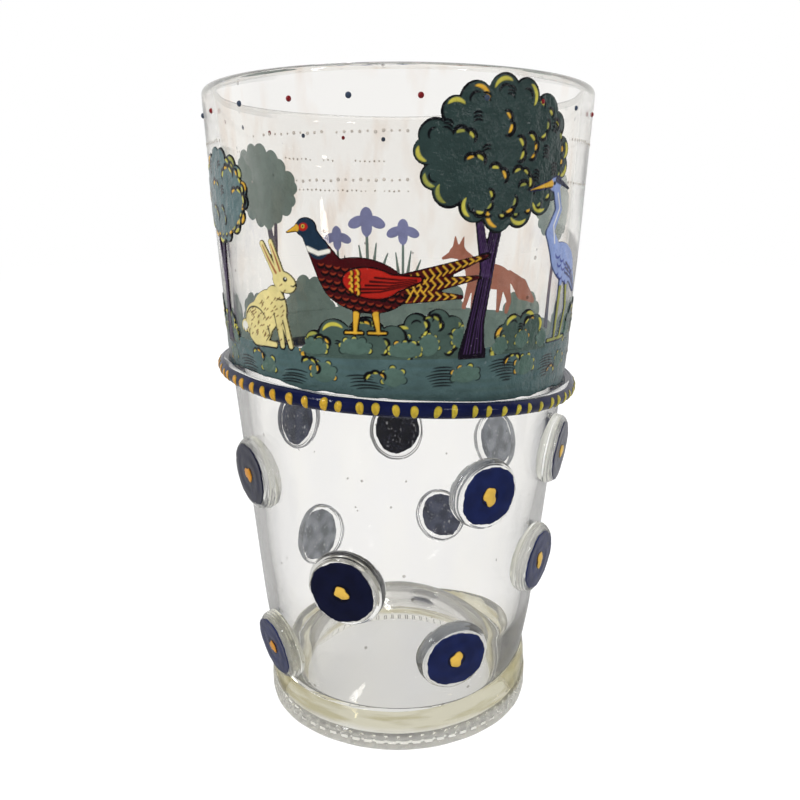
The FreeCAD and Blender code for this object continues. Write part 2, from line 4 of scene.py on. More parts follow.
import bpy
import numpy as np
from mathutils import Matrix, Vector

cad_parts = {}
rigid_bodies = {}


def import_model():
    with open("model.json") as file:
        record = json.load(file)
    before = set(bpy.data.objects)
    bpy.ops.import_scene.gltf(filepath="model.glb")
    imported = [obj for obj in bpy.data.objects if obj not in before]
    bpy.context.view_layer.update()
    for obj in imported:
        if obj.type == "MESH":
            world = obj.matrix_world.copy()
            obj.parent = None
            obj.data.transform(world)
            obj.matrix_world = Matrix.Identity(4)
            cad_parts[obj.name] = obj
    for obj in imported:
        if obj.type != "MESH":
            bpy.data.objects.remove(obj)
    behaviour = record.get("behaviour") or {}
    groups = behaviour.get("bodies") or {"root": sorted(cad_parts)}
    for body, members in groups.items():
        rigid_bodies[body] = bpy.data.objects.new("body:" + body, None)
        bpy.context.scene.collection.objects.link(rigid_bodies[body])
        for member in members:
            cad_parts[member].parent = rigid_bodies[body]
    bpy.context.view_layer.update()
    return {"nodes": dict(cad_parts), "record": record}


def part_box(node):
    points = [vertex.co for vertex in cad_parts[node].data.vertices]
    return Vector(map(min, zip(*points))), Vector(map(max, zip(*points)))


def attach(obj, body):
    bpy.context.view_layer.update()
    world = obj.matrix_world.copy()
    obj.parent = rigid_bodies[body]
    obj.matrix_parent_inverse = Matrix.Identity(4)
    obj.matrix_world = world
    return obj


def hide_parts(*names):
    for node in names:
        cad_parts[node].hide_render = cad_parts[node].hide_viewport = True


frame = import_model()
solids = frame["nodes"]
mm = 0.001


# The frame's box of one node, as lowest and highest corner in millimetres
def boxOf(node):
    low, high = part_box(node)
    return np.array(low) / mm, np.array(high) / mm


# One operator of a wire makes one Math node; a reflected one takes the other value first
def mathNode(operation, reflected=False):
    return lambda wire, other: wire.finish.sum(operation, *((other, wire) if reflected else (wire, other)))


# Wraps a node's output, so that shader sums are written as plain sums. The bar gives the greater of two values.
class Wire:
    def __init__(self, finish, socket):
        self.finish, self.socket = finish, socket

    __add__ = __radd__ = mathNode("ADD")
    __mul__ = __rmul__ = mathNode("MULTIPLY")
    __sub__, __rsub__ = mathNode("SUBTRACT"), mathNode("SUBTRACT", True)
    __truediv__, __or__ = mathNode("DIVIDE"), mathNode("MAXIMUM")
    __gt__, __lt__ = mathNode("GREATER_THAN"), mathNode("LESS_THAN")

    def output(self, name):
        return Wire(self.finish, self.socket.node.outputs[name])


# A material or the world, cleared, with one method that adds any node
class Finish:
    def __init__(self, owner):
        self.owner = owner
        owner.use_nodes = True
        self.tree = owner.node_tree
        self.tree.nodes.clear()

    def node(self, kind, settings=None, sockets=None, output=0):
        made = self.tree.nodes.new(kind)
        for name, value in (settings or {}).items():
            if name == "stops":
                ramp = made.color_ramp.elements
                while len(ramp) < len(value):
                    ramp.new(0.5)
                for stop, (place, colour) in zip(ramp, value):
                    stop.position, stop.color = place, (*colour, 1)
            else:
                setattr(made, name, value)
        for name, value in (sockets or {}).items():
            if isinstance(value, Wire):
                self.tree.links.new(value.socket, made.inputs[name])
            elif isinstance(value, tuple) and len(value) == 3 and made.inputs[name].type == "RGBA":
                made.inputs[name].default_value = (*value, 1)
            else:
                made.inputs[name].default_value = value
        return Wire(self, made.outputs[output]) if made.outputs else None

    def mixColour(self, share, first, second, blend="MIX"):
        return self.node("ShaderNodeMix", {"data_type": "RGBA", "blend_type": blend},
                         {0: share, 6: first, 7: second}, 2)

    def noise(self, place, scale, detail=3.0, roughness=0.5):
        return self.node("ShaderNodeTexNoise", {}, {"Vector": place, "Scale": scale, "Detail": detail,
                                                    "Roughness": roughness}, "Fac")

    def sum(self, operation, *values):
        return self.node("ShaderNodeMath", {"operation": operation}, dict(enumerate(values)))

    def ramp(self, value, stops):
        return self.node("ShaderNodeValToRGB", {"stops": stops}, {"Fac": value})

    # A ramp between two levels of grey, from one value to another
    def greys(self, value, start, end, first=0.0, last=1.0):
        return self.ramp(value, [(start, grey(first)), (end, grey(last))])

    def scaled(self, place, factors):
        return self.node("ShaderNodeVectorMath", {"operation": "MULTIPLY"}, {0: place, 1: factors})

    # The share of the second shader rises from 0 to 1
    def blend(self, share, first, second):
        return self.node("ShaderNodeMixShader", {}, {0: share, 1: first, 2: second})


# A colour with all three parts at one level
def grey(level):
    return (level,) * 3


# A new material, ready for its nodes
def newFinish(name):
    return Finish(bpy.data.materials.new(name))


# Colours are written as they look on a screen: this turns them into light, by the display's own curve
def light(red, green, blue):
    seen = np.array([red, green, blue]) / 255
    return tuple(np.where(seen <= 0.04045, seen / 12.92, ((seen + 0.055) / 1.055) ** 2.4).tolist())


# Glass tinted in slow cream and lilac clouds, with the "worn" tint and smudges above "wornFrom" (paler in the body,
# the yellow band in the foot), with a few dark seeds, and olive or grey where it is thick
glassLook = {
    "cream": (0.964, 0.957, 0.947), "lilac": (0.945, 0.941, 0.945), "cloudScale": 55.0, "thick": (0.76, 0.74, 0.48),
    "density": 8.0, "worn": (0.98, 0.968, 0.952), "wornFrom": 0.146, "wornRate": 40.0, "smudge": (0.87, 0.765, 0.68),
    "smudgeFrom": 0.56, "smudgeScale": 85.0, "stretch": (1.0, 1.0, 0.35), "seed": (0.34, 0.32, 0.3),
    "seedScale": 75.0, "seedSize": 0.045, "index": 1.5, "roughness": 0.012, "ripple": 0.05, "rippleScale": 34.0,
    "straight": 0.7, "lip": 0.2165, "lipStraight": 0.6, "frost": 0.0, "frostTop": 0.0,
}
footLook = {
    **glassLook, "cream": (0.975, 0.96, 0.915), "lilac": (0.99, 0.985, 0.965), "thick": (0.8, 0.76, 0.4),
    "density": 9.0, "worn": (0.73, 0.68, 0.47), "wornFrom": 0.007, "wornRate": 250.0, "smudge": (0.46, 0.4, 0.2),
    "smudgeFrom": 0.44, "stretch": (0.5, 0.5, 3.2), "seedSize": 0.0, "frost": 0.12, "frostTop": 0.0066,
}
discLook = {
    **glassLook, "cream": (0.985, 0.982, 0.975), "lilac": (0.975, 0.975, 0.98), "thick": (0.84, 0.84, 0.7),
    "density": 5.0, "seedSize": 0.0, "index": 1.46, "straight": 0.9,
}


# Light bends through the glass, but a share of it goes straight on where it leaves at a slant and all round the lip,
# because fine edges are pale in the real glass. The foot's milled part has a little frost. Shadows and soft light
# pass straight through, and so does all light at faces marked as fused, where one piece has melted into another:
# those above a half always, and the fainter ones within reach of a covered place.
def glassFinish(name, look, covered=()):
    finish = newFinish(name)
    place = finish.node("ShaderNodeTexCoord", output="Object")
    height = finish.node("ShaderNodeSeparateXYZ", {}, {0: place}, "Z")
    drawn = finish.scaled(place, glassLook["stretch"])
    ripple = finish.noise(drawn, look["rippleScale"], 2.0)
    mottle = finish.noise(drawn, look["cloudScale"], 4.0, 0.6)
    tint = finish.mixColour(finish.greys(mottle, 0.38, 0.62), look["cream"], look["lilac"])
    # Above "wornFrom" the clouds give way to the "worn" tint: paler glass in the body, the yellow band in the foot
    upperShare = finish.greys(height * look["wornRate"] - look["wornFrom"] * look["wornRate"] + mottle, 0.2, 0.9)
    tint = finish.mixColour(upperShare, tint, look["worn"])
    streaks = finish.noise(finish.scaled(place, look["stretch"]), look["smudgeScale"], 3.0)
    smudge = finish.greys(streaks, look["smudgeFrom"], look["smudgeFrom"] + 0.16)
    tint = finish.mixColour(upperShare * smudge, tint, look["smudge"])
    cell = finish.node("ShaderNodeTexVoronoi", {}, {"Vector": place, "Scale": look["seedScale"]}, "Distance")
    tint = finish.mixColour(cell < look["seedSize"], tint, look["seed"])
    smear = finish.noise(place, look["rippleScale"] * 6, 3.0)
    bump = finish.node("ShaderNodeBump", {}, {"Strength": look["ripple"], "Distance": 0.002, "Height": ripple})
    glass = finish.node("ShaderNodeBsdfPrincipled", {}, {
        "Base Color": tint, "Transmission Weight": 1.0, "IOR": look["index"],
        "Roughness": smear * look["roughness"], "Normal": bump})
    slant = finish.node("ShaderNodeLayerWeight", {}, {"Blend": 0.5}, "Facing")
    leaving = finish.node("ShaderNodeNewGeometry", output="Backfacing")
    share = leaving * slant * slant * look["straight"] | (height > look["lip"]) * slant * look["lipStraight"]
    glass = finish.blend(share, glass, finish.node("ShaderNodeBsdfTransparent", {}, {"Color": grey(1.0)}))
    if look["frost"]:
        frost = (height < look["frostTop"]) * (0.5 + mottle) * look["frost"]
        milky = finish.node("ShaderNodeBsdfTranslucent", {}, {"Color": (0.95, 0.94, 0.91)})
        glass = finish.blend(frost, glass, milky)
    path = finish.node("ShaderNodeLightPath")
    fused = finish.node("ShaderNodeAttribute", {"attribute_name": "fused"}, output="Fac")
    passing = path.output("Is Shadow Ray") | path.output("Is Diffuse Ray") | (fused > 0.5)
    for middle, reach in covered:
        away = finish.node("ShaderNodeVectorMath", {"operation": "DISTANCE"}, {0: place, 1: middle}, "Value")
        passing = passing | (away < reach) * (fused > 0.1)
    both = finish.blend(passing, glass, finish.node("ShaderNodeBsdfTransparent", {}, {"Color": grey(0.985)}))
    thick = finish.node("ShaderNodeVolumeAbsorption", {}, {"Color": look["thick"], "Density": look["density"]})
    finish.node("ShaderNodeOutputMaterial", {}, {"Surface": both, "Volume": thick})
    return finish.owner


# Enamel: a fired colour, or the colours painted on the mesh, with slow clouds in its tone between a dark and a pale
# share, a fine uneven skin and a gloss that is not quite even
def enamelFinish(name, colour=None, dark=0.8, pale=1.18, gloss=0.24, relief=0.0005):
    finish = newFinish(name)
    place = finish.node("ShaderNodeTexCoord", output="Object")
    cloud = finish.noise(place, 160.0, 4.0, 0.6)
    fine = finish.noise(place, 900.0, 3.0)
    tone = finish.greys(cloud, 0.3, 0.72, dark, pale)
    if colour is None:
        colour = finish.node("ShaderNodeAttribute", {"attribute_name": "paint"}, output="Color")
    shade = finish.mixColour(1.0, colour, tone, "MULTIPLY")
    bump = finish.node("ShaderNodeBump", {}, {"Strength": 0.5, "Distance": relief, "Height": cloud + fine * 0.12})
    skin = finish.node("ShaderNodeBsdfPrincipled", {}, {
        "Base Color": shade, "Roughness": gloss + cloud * 0.1, "Specular IOR Level": 0.45, "Normal": bump})
    finish.node("ShaderNodeOutputMaterial", {}, {"Surface": skin})
    return finish.owner


# Every four neighbours of a grid of points make a face; rows or columns may close on themselves
def gridFaces(rows, columns, closedRows=False, closedColumns=False, start=0):
    index = np.arange(rows * columns).reshape(rows, columns) + start
    if closedRows:
        index = np.vstack([index, index[:1]])
    if closedColumns:
        index = np.hstack([index, index[:, :1]])
    return np.stack([index[:-1, :-1], index[:-1, 1:], index[1:, 1:], index[1:, :-1]], axis=-1).reshape(-1, 4)


# Points in millimetres and lists of faces become a piece that stands for some nodes and rides on the beaker
def newPiece(name, points, faces, finish, stands=(), marks=None, paint=None):
    mesh = bpy.data.meshes.new(name)
    sizes = np.concatenate([np.full(len(group), group.shape[1]) for group in faces])
    mesh.vertices.add(len(points))
    mesh.vertices.foreach_set("co", (points * mm).ravel())
    mesh.loops.add(int(sizes.sum()))
    mesh.loops.foreach_set("vertex_index", np.concatenate([group.ravel() for group in faces]).astype(np.int32))
    mesh.polygons.add(len(sizes))
    mesh.polygons.foreach_set("loop_start", (np.cumsum(sizes) - sizes).astype(np.int32))
    mesh.update(calc_edges=True)
    mesh.polygons.foreach_set("use_smooth", np.ones(len(sizes), bool))
    if marks is not None:
        mesh.attributes.new("fused", "FLOAT", "FACE").data.foreach_set("value", marks.astype(np.float32))
    if paint is not None:
        colours = np.ones((len(points), 4), np.float32)
        colours[:, :3] = paint
        mesh.attributes.new("paint", "FLOAT_COLOR", "POINT").data.foreach_set("color", colours.ravel())
    mesh.materials.append(finish)
    mesh.update()
    piece = bpy.data.objects.new(name, mesh)
    bpy.context.scene.collection.objects.link(piece)
    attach(piece, "root")
    if stands:
        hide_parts(*stands)
    return piece


# Places round the axis
def around(radius, turn, level):
    return np.stack([radius * np.cos(turn), radius * np.sin(turn), level], axis=-1)


# A profile of radius and height is carried round the axis. Both its ends may lie on the axis, where all columns
# share one point. Column k is at turn 2 pi k / columns.
def turned(profile, columns, warp=None, closed=False):
    turn = np.linspace(0, 2 * math.pi, columns, endpoint=False)
    inner = profile if closed else profile[1:-1]
    radius = inner[:, :1] + np.zeros((1, columns))
    level = inner[:, 1:] + np.zeros((1, columns))
    if warp is not None:
        radius, level = warp(radius, level, turn[None, :])
    points = around(radius, turn, level).reshape(-1, 3)
    faces = [gridFaces(len(inner), columns, closed, True)]
    if not closed:
        here = np.arange(columns)
        after = (here + 1) % columns
        last = (len(inner) - 1) * columns
        first = np.full(columns, len(points))
        points = np.vstack([points, [[0, 0, profile[0, 1]], [0, 0, profile[-1, 1]]]])
        faces.append(np.stack([first, after, here], axis=-1))
        faces.append(np.stack([last + here, last + after, first + 1], axis=-1))
    return points, faces


# The places of a chain's points at wanted values of what is known for each
def placesAt(wanted, known, chain):
    return np.stack([np.interp(wanted, known, chain[:, axis]) for axis in (0, 1)], axis=-1)


# Even points along a chain, about a step apart
def spaced(chain, step, extra):
    chain = np.asarray(chain, float)
    along = np.concatenate([[0], np.cumsum(np.hypot(*np.diff(chain, axis=0).T))])
    return placesAt(np.linspace(0, along[-1], int(along[-1] / step) + extra), along, chain)


# Walks a chain of points at a step that is short where the chain bends: the bend is the change of heading
def walked(chain, step, bend, fine=0.05):
    dense = spaced(chain, fine, 0)
    heading = np.unwrap(np.arctan2(*np.gradient(dense, axis=0).T[::-1]))
    effort = np.cumsum(fine / step + np.abs(np.gradient(heading)) / bend)
    rows = np.arange(len(dense))
    return placesAt(np.interp(np.linspace(effort[0], effort[-1], int(effort[-1])), effort, rows), rows, dense)


# Puts more rows into the picked part of a chain
def finer(chain, picked, times):
    rows = np.nonzero(picked)[0]
    between = np.linspace(rows[0], rows[-1], times * (rows[-1] - rows[0]) + 1)
    return np.vstack([chain[:rows[0]], placesAt(between, np.arange(len(chain)), chain), chain[rows[-1] + 1:]])


# Rounds the corners of a chain: each point becomes a bell-weighted mean of those within a few spreads of it
def softened(chain, spread, step=0.25):
    dense = spaced(chain, step, 1)
    reach = int(3 * spread / step)
    bell = np.exp(-0.5 * (np.arange(-reach, reach + 1) * step / spread) ** 2)
    bell /= bell.sum()
    before = 2 * dense[0] - dense[reach:0:-1]
    beyond = 2 * dense[-1] - dense[-2:-reach - 2:-1]
    padded = np.vstack([before, dense, beyond])
    return np.stack([np.convolve(padded[:, axis], bell, "valid") for axis in (0, 1)], axis=-1)


bodyLow, bodyHigh = boxOf("beaker_body")
footHigh = boxOf("foot_ring")[1]
body = {
    "levels": [bodyLow[2], 36.0, 125.4, 170.0, bodyHigh[2]],
    "radii": [45.6, 51.4, 59.7, 62.9, bodyHigh[0]],
    "wall": 3.8, "kneeLevel": 36.0, "cornerLevel": 12.5, "cornerRadius": 42.6,
    "kickTop": 33.5, "kickUnder": 26.5, "kickRadius": 39.5, "heelRadius": 44.6, "columns": 216,
    "waves": [(2, 0.9, 0.1, 0.3), (3, 2.3, 0.07, 1.9), (5, 1.2, 0.05, 4.0), (1, 5.0, 0.06, 2.2), (7, 3.1, 0.03, 0.8)],
}
wallChain = softened(np.stack([body["levels"], body["radii"]], axis=-1), 5.0)


# Radius of the wall's outer side at a level, in millimetres
def wallRadius(level):
    return np.interp(level, wallChain[:, 0], wallChain[:, 1])


# Slow waves in hand-blown glass: each is a sine of its turns round the axis and its turns up the wall
def waved(level, turn):
    return sum(size * np.sin(turns * turn + 2 * math.pi * rise * level / body["levels"][-1] + phase)
               for turns, rise, size, phase in body["waves"])


# A shallow cap from the axis out to an edge, as a circle's arc through both
def cap(top, edgeRadius, edgeLevel, count=40):
    rise = top - edgeLevel
    sphere = (edgeRadius ** 2 + rise ** 2) / (2 * rise)
    angle = np.linspace(0, math.asin(edgeRadius / sphere), count)
    return np.stack([sphere * np.sin(angle), top - sphere + sphere * np.cos(angle)], axis=-1)


# The body's section: from the kick's middle out underneath, up over the lip and back in to the floor's middle
def bodyProfile():
    top = body["levels"][-1]
    half = body["wall"] / 2
    under = cap(body["kickUnder"], body["kickRadius"], body["levels"][0])
    outside = np.linspace(body["levels"][0], top - half, 90)
    outside = np.stack([wallRadius(outside), outside], axis=-1)
    lip = np.linspace(0, math.pi, 24)[1:-1]  # a half circle over the wall's top
    lip = np.stack([wallRadius(top) - half + half * np.cos(lip), top - half + half * np.sin(lip)], axis=-1)
    inside = np.linspace(top - half, body["kneeLevel"], 80)
    inside = np.stack([wallRadius(inside) - body["wall"], inside], axis=-1)
    floorCap = cap(body["kickTop"], body["cornerRadius"], body["cornerLevel"])[::-1]
    chain = np.vstack([under, outside, lip, inside, floorCap])
    chain = walked(softened(chain, 0.9), 2.4, 0.09)
    chain[0, 0] = chain[-1, 0] = 0
    outer = (np.arange(len(chain)) < np.argmax(chain[:, 1])) & (chain[:, 0] > body["heelRadius"])
    return finer(chain, outer & (chain[:, 1] > 7) & (chain[:, 1] < 18), 4)


profile = bodyProfile()
columns = body["columns"]


# The inner side waves more than the outer side, so that the wall's thickness changes. Heel and lip stay round.
def bodyWarp(radius, level, turn):
    inner = radius < wallRadius(level) - body["wall"] / 2
    share = np.clip((level - 20) / 20, 0, 1) * np.clip((217 - level) / 6, 0, 1)
    return radius + share * waved(level, turn) * np.where(inner, 1.6, 0.35), level


# The foot was laid on by hand: the level of its upper parts is this many times as high at each turn
def footRise(turn):
    return 0.95 + 0.125 * np.cos(turn) + 0.125 * np.cos(2 * turn) + 0.03 * np.sin(3 * turn + 0.6)


# Faces under the foot are marked as fused, and the rest of the wall's outer side faintly, for the discs on it
points, faces = turned(profile, columns, bodyWarp)
middles = (profile[1:-2] / 2 + profile[2:-1] / 2)[:, None, :]
turn = (np.arange(columns) + 0.5)[None, :] * 2 * math.pi / columns
onHeel = (middles[..., 1] < footHigh[2] * footRise(turn) - 0.4) & (middles[..., 0] > body["heelRadius"])
onHeel &= np.arange(len(middles))[:, None] < np.argmax(profile[:, 1])
onOutside = 0.25 * (middles[..., 0] > wallRadius(middles[..., 1]) - 0.5)
marks = np.concatenate([np.maximum(onHeel, onOutside).ravel(), np.zeros(2 * columns)])
clearGlass = glassFinish("clearGlass", glassLook)
bodyPiece = newPiece("blown_body", points, faces, clearGlass, ["beaker_body"], marks)
print("body:", len(points), "points")

foot = {
    "radius": footHigh[0], "inset": 0.7, "milledLevel": 6.6, "bandLevel": 13.0, "top": footHigh[2],
    "sunk": 0.8, "land": 44.1, "cuts": 72, "cutDepth": 1.15, "columnsPerCut": 12, "base": 1.1,
}


# The foot's section: a flat base, the milled band, a groove, the upper band and the sides sunk into the body's heel
def footProfile():
    full, inset = foot["radius"], foot["radius"] - foot["inset"]
    heel = foot["sunk"]
    chain = [
        (foot["land"], 0), (full, 0), (full, foot["milledLevel"]), (inset, foot["milledLevel"] + 0.7),
        (inset + 0.25, 9.5), (inset, foot["bandLevel"]), (inset - 0.75, foot["top"]),
        (float(wallRadius(foot["top"])) - heel, foot["top"] - 0.2), (body["radii"][0] - heel, 1.6),
        (foot["land"], 1.4), (foot["land"], 0.05)]
    return walked(softened(chain, 0.35, 0.1), 1.1, 0.35)


# Each cut is a narrow valley between flat blocks: its depth grows with the cosine of the place across the cut above
# a half. It fades out at the top of the milling and above the smooth base line.
def footWarp(radius, level, turn):
    across = np.cos(foot["cuts"] * turn + 0.5 * np.sin(4 * turn))
    valley = np.clip((across - 0.45) / 0.55, 0, 1) ** 0.6
    fade = np.clip((foot["milledLevel"] + 0.2 - level) / 1.0, 0, 1) * np.clip((level - foot["base"]) / 0.7, 0, 1)
    outer = np.clip((radius - foot["radius"] + 4.5) / 2.5, 0, 1)
    waves = 0.22 * np.sin(2 * turn + 1) + 0.1 * np.sin(7 * turn) + 0.05 * np.sin(23 * turn)
    depth = foot["cutDepth"] * valley * fade * (1 + 0.35 * np.sin(5 * turn))
    return radius - outer * (depth - waves), level * (1 + (footRise(turn) - 1) * np.clip((level - 1.6) / 2, 0, 1))


chain = footProfile()
columns = foot["cuts"] * foot["columnsPerCut"]
points, faces = turned(chain, columns, footWarp, True)
middles = (chain + np.roll(chain, -1, axis=0)) / 2
buried = (middles[:, 0] < wallRadius(middles[:, 1]) - 0.15) & (middles[:, 1] > 1.5) & (middles[:, 0] > 44.4)
newPiece("milled_foot", points, faces, glassFinish("footGlass", footLook), ["foot_ring"],
         np.repeat(buried, columns).astype(float))
print("foot:", len(points), "points")

# Plain coats, one for each material of the record. The frame's own nodes wear them, and so do the beads.
coatColours = {
    "navy_enamel": (18, 24, 66), "amber_enamel": (214, 148, 44), "yellow_enamel": (212, 182, 74),
    "grey_blue_enamel": (54, 66, 86), "red_enamel": (122, 20, 26), "slate_green_enamel": (66, 94, 91),
    "aubergine_enamel": (40, 20, 48), "maroon_enamel": (62, 12, 16), "pale_blue_enamel": (138, 156, 202),
    "cream_enamel": (214, 198, 134), "russet_enamel": (150, 74, 52),
}
coats = {name: enamelFinish(name, light(*colour)) for name, colour in coatColours.items()}
coats["clear_glass"] = clearGlass
slotOf = {part["node"]: part["material_slot"] for part in frame["record"]["subparts"]}
for node, slotName in slotOf.items():
    worn = solids[node].data.materials
    for number in range(len(worn)):
        worn[number] = coats[slotName]
    if not worn:
        worn.append(coats[slotName])

# The picture is painted on a grid over the unrolled wall.
# Its foot line and its height, from the ground to the beads, come from the frame
pictureFoot = float(boxOf("ground")[1][2])
pictureTall = float(sum(boxOf("beads_red")[i][2] for i in (0, 1)) / 2 - pictureFoot)
canvas = {"pitch": 0.25, "low": 118.0, "high": 218.5, "radius": 60.0, "narrow": 56.0, "thickness": 0.34,
          "roundEdge": 0.55, "sunk": 0.1, "lap": 0.5, "slack": 0.03}
# Inks by name: "Under" is the side seen through the glass, "Line" is an outline
inks = {
    "black": (9, 10, 15), "foliage": (44, 60, 58), "foliagePale": (80, 102, 104), "foliageUnder": (112, 130, 124),
    "grass": (74, 97, 99), "bush": (66, 84, 77), "clod": (78, 101, 92), "leaf": (70, 112, 92),
    "yellow": (186, 178, 74), "gold": (212, 164, 52), "olive": (146, 148, 70), "white": (226, 224, 214),
    "bark": (17, 7, 24), "barkPale": (66, 44, 84), "barkUnder": (74, 62, 84), "barkLine": (14, 6, 18),
    "iris": (118, 128, 200), "irisUnder": (128, 132, 176), "deepBlue": (58, 70, 142),
    "russet": (160, 82, 54), "russetUnder": (166, 106, 88), "russetDark": (92, 36, 24), "russetPale": (214, 150, 104),
    "paw": (34, 20, 20), "blue": (136, 154, 202), "blueUnder": (142, 152, 188), "blueLine": (24, 28, 62),
    "plume": (36, 40, 86), "crest": (28, 30, 56), "maroon": (62, 9, 14), "maroonUnder": (122, 66, 62),
    "maroonLine": (8, 3, 6), "scaleDark": (10, 3, 6), "scalePale": (132, 48, 28), "quill": (12, 4, 8),
    "hood": (26, 44, 62), "red": (168, 32, 22), "redUnder": (158, 70, 54), "redDark": (54, 8, 8),
    "barDark": (30, 4, 6), "redLine": (20, 3, 5), "cream": (214, 200, 136), "creamUnder": (196, 186, 148),
    "fur": (120, 92, 54), "ear": (150, 92, 60),
}


# Distance to an oval: how far a point lies past the oval's edge, by the length of its scaled place; below 0 inside
def ovalEdge(a, b, middleA, middleB, halfA, halfB, turn=0.0):
    c, s = math.cos(math.radians(turn)), math.sin(math.radians(turn))
    x = (a - middleA) * c + (b - middleB) * s
    y = (b - middleB) * c - (a - middleA) * s
    once = np.hypot(x / halfA, y / halfB)
    twice = np.hypot(x / halfA ** 2, y / halfB ** 2) + 1e-9
    return once * (once - 1) / twice


# Distance to a limb: from the nearest point of its line, less a half width that changes along the line
def limbEdge(a, b, startA, startB, endA, endB, startHalf, endHalf):
    wayA, wayB = endA - startA, endB - startB
    share = np.clip(((a - startA) * wayA + (b - startB) * wayB) / (wayA ** 2 + wayB ** 2), 0, 1)
    return np.hypot(a - startA - share * wayA, b - startB - share * wayB) - startHalf - share * (endHalf - startHalf)


# Distance to a brush stroke along an arc: widest in its middle, fine at both ends. Angles in degrees.
def arcEdge(a, b, middleA, middleB, radius, start, finish, half):
    away = np.hypot(a - middleA, b - middleB)
    middle, span = math.radians((start + finish) / 2), math.radians(finish - start)
    turn = np.angle(np.exp(1j * (np.arctan2(b - middleB, a - middleA) - middle)))
    past = np.clip(np.abs(turn) - span / 2, 0, None) * radius
    width = half * np.sqrt(np.clip(1 - (2 * turn / span) ** 2, 0.05, 1))
    return np.hypot(away - radius, past) - width


# Distance to a round-lobed mass: a chain of circles whose arcs stand out by a share of the chord, and the oval within
def lobedEdge(a, b, wide, tall, shares, swell=0.3):
    turn = np.arange(len(shares)) * 2 * math.pi / len(shares)
    corners = np.stack([wide * np.array(shares) * np.cos(turn), tall * np.array(shares) * np.sin(turn)], axis=-1)
    chord = np.roll(corners, -1, axis=0) - corners
    length = np.hypot(*chord.T)
    radius = length * (0.25 + swell ** 2) / (2 * swell)
    outward = np.stack([chord[:, 1], -chord[:, 0]], axis=-1) / length[:, None]
    middles = corners + chord / 2 - outward * (radius - swell * length)[:, None]
    edge = ovalEdge(a, b, 0, 0, wide * 0.9, tall * 0.9)
    for (middleA, middleB), size in zip(middles, radius):
        edge = np.minimum(edge, np.hypot(a - middleA, b - middleB) - size)
    return edge, middles, radius, outward


# Joins distances with a small fillet between them
def melted(edges, soft=0.4):
    total = edges[0]
    for edge in edges[1:]:
        share = np.clip(0.5 + 0.5 * (edge - total) / soft, 0, 1)
        total = edge + (total - edge) * share - soft * share * (1 - share)
    return total


# The unrolled wall, a row for each level and a column for each turn: colour, relief, and each piece's edge
class Picture:
    def __init__(self):
        self.levels = np.arange(canvas["low"], canvas["high"], canvas["pitch"])
        self.columns = int(2 * math.pi * canvas["radius"] / canvas["pitch"])
        self.turns = np.arange(self.columns) * 2 * math.pi / self.columns - math.pi
        self.radii = wallRadius(self.levels)
        shape = (len(self.levels), self.columns)
        self.colour = np.zeros(shape + (3,), np.float32)
        self.under = np.zeros(shape + (3,), np.float32)
        self.raised = np.zeros(shape, np.float32)
        self.edges = {}

    def edgeOf(self, name):
        if name not in self.edges:
            self.edges[name] = np.full(self.raised.shape, 9.0, np.float32)
        return self.edges[name]


picture = Picture()
dice = np.random.default_rng(14)


# One figure of the picture. Its own places are a to the right and b up, from its foot, in units of its size.
class Figure:
    def __init__(self, name, angle, level, unit, left, right, below, above):
        self.name, self.unit, self.edge = name, unit, None
        turn = math.radians(angle)
        rows = np.nonzero((picture.levels > level + below * unit) & (picture.levels < level + above * unit))[0]
        first, last = [int((turn + math.pi + side * unit / canvas["narrow"]) / (2 * math.pi / picture.columns))
                       for side in (left, right)]
        columns = np.arange(first, min(last, first + picture.columns)) % picture.columns
        self.spot = np.ix_(rows, columns)
        self.a = picture.radii[rows][:, None] * np.sin(picture.turns[columns][None, :] - turn) / unit
        self.b = (picture.levels[rows][:, None] - level) / unit + 0 * self.a

    # Fills a shape: it becomes this piece's, and every other piece gives way to it, but for a narrow lap under it
    def fill(self, edge, ink, under=None):
        edge = edge * self.unit
        self.edge = edge if self.edge is None else np.minimum(self.edge, edge)
        own = picture.edgeOf(self.name)
        for name, other in picture.edges.items():
            if name != self.name:
                other[self.spot] = np.maximum(other[self.spot], -edge - canvas["lap"])
        own[self.spot] = np.minimum(own[self.spot], edge)
        inside = edge < canvas["pitch"]
        for layer, tone in ((picture.colour, ink), (picture.under, under or ink)):
            layer[self.spot] = np.where(inside[..., None], np.array(light(*inks[tone])), layer[self.spot])
        picture.raised[self.spot] = np.where(inside, 0, picture.raised[self.spot])

    # Lays a stroke over what is filled, with an edge one step of the grid soft, and a little thickness of its own
    def stroke(self, edge, ink, thick=0.05, within=1.0):
        share = np.clip(0.5 - edge * self.unit / canvas["pitch"], 0, 1) * (self.edge < canvas["pitch"]) * within
        old = picture.colour[self.spot]
        picture.colour[self.spot] = old + (np.array(light(*inks[ink])) - old) * share[..., None]
        picture.raised[self.spot] += thick * share

    # Lays strokes in order: each is an ink, a kind of shape and the shape's own numbers
    def draw(self, *strokes):
        for ink, kind, *shape in strokes:
            self.stroke(getattr(self, kind)(*shape), ink)

    def outline(self, half, ink="black"):
        self.stroke(-self.edge / self.unit - half, ink)

    def oval(self, *shape):
        return ovalEdge(self.a, self.b, *shape)

    def limb(self, *shape):
        return limbEdge(self.a, self.b, *shape)

    def arc(self, *shape):
        return arcEdge(self.a, self.b, *shape)

    # A line through points, with a half width that runs from the first value to the second
    def line(self, points, startHalf, endHalf):
        halves = np.linspace(startHalf, endHalf, len(points))
        return np.minimum.reduce([self.limb(*points[i], *points[i + 1], halves[i], halves[i + 1])
                                  for i in range(len(points) - 1)])

    # Ovals have five shares and limbs six, as in the frame's figures
    def joined(self, shapes, soft=0.4):
        return melted([self.oval(*shape) if len(shape) == 5 else self.limb(*shape) for shape in shapes],
                      soft / self.unit)


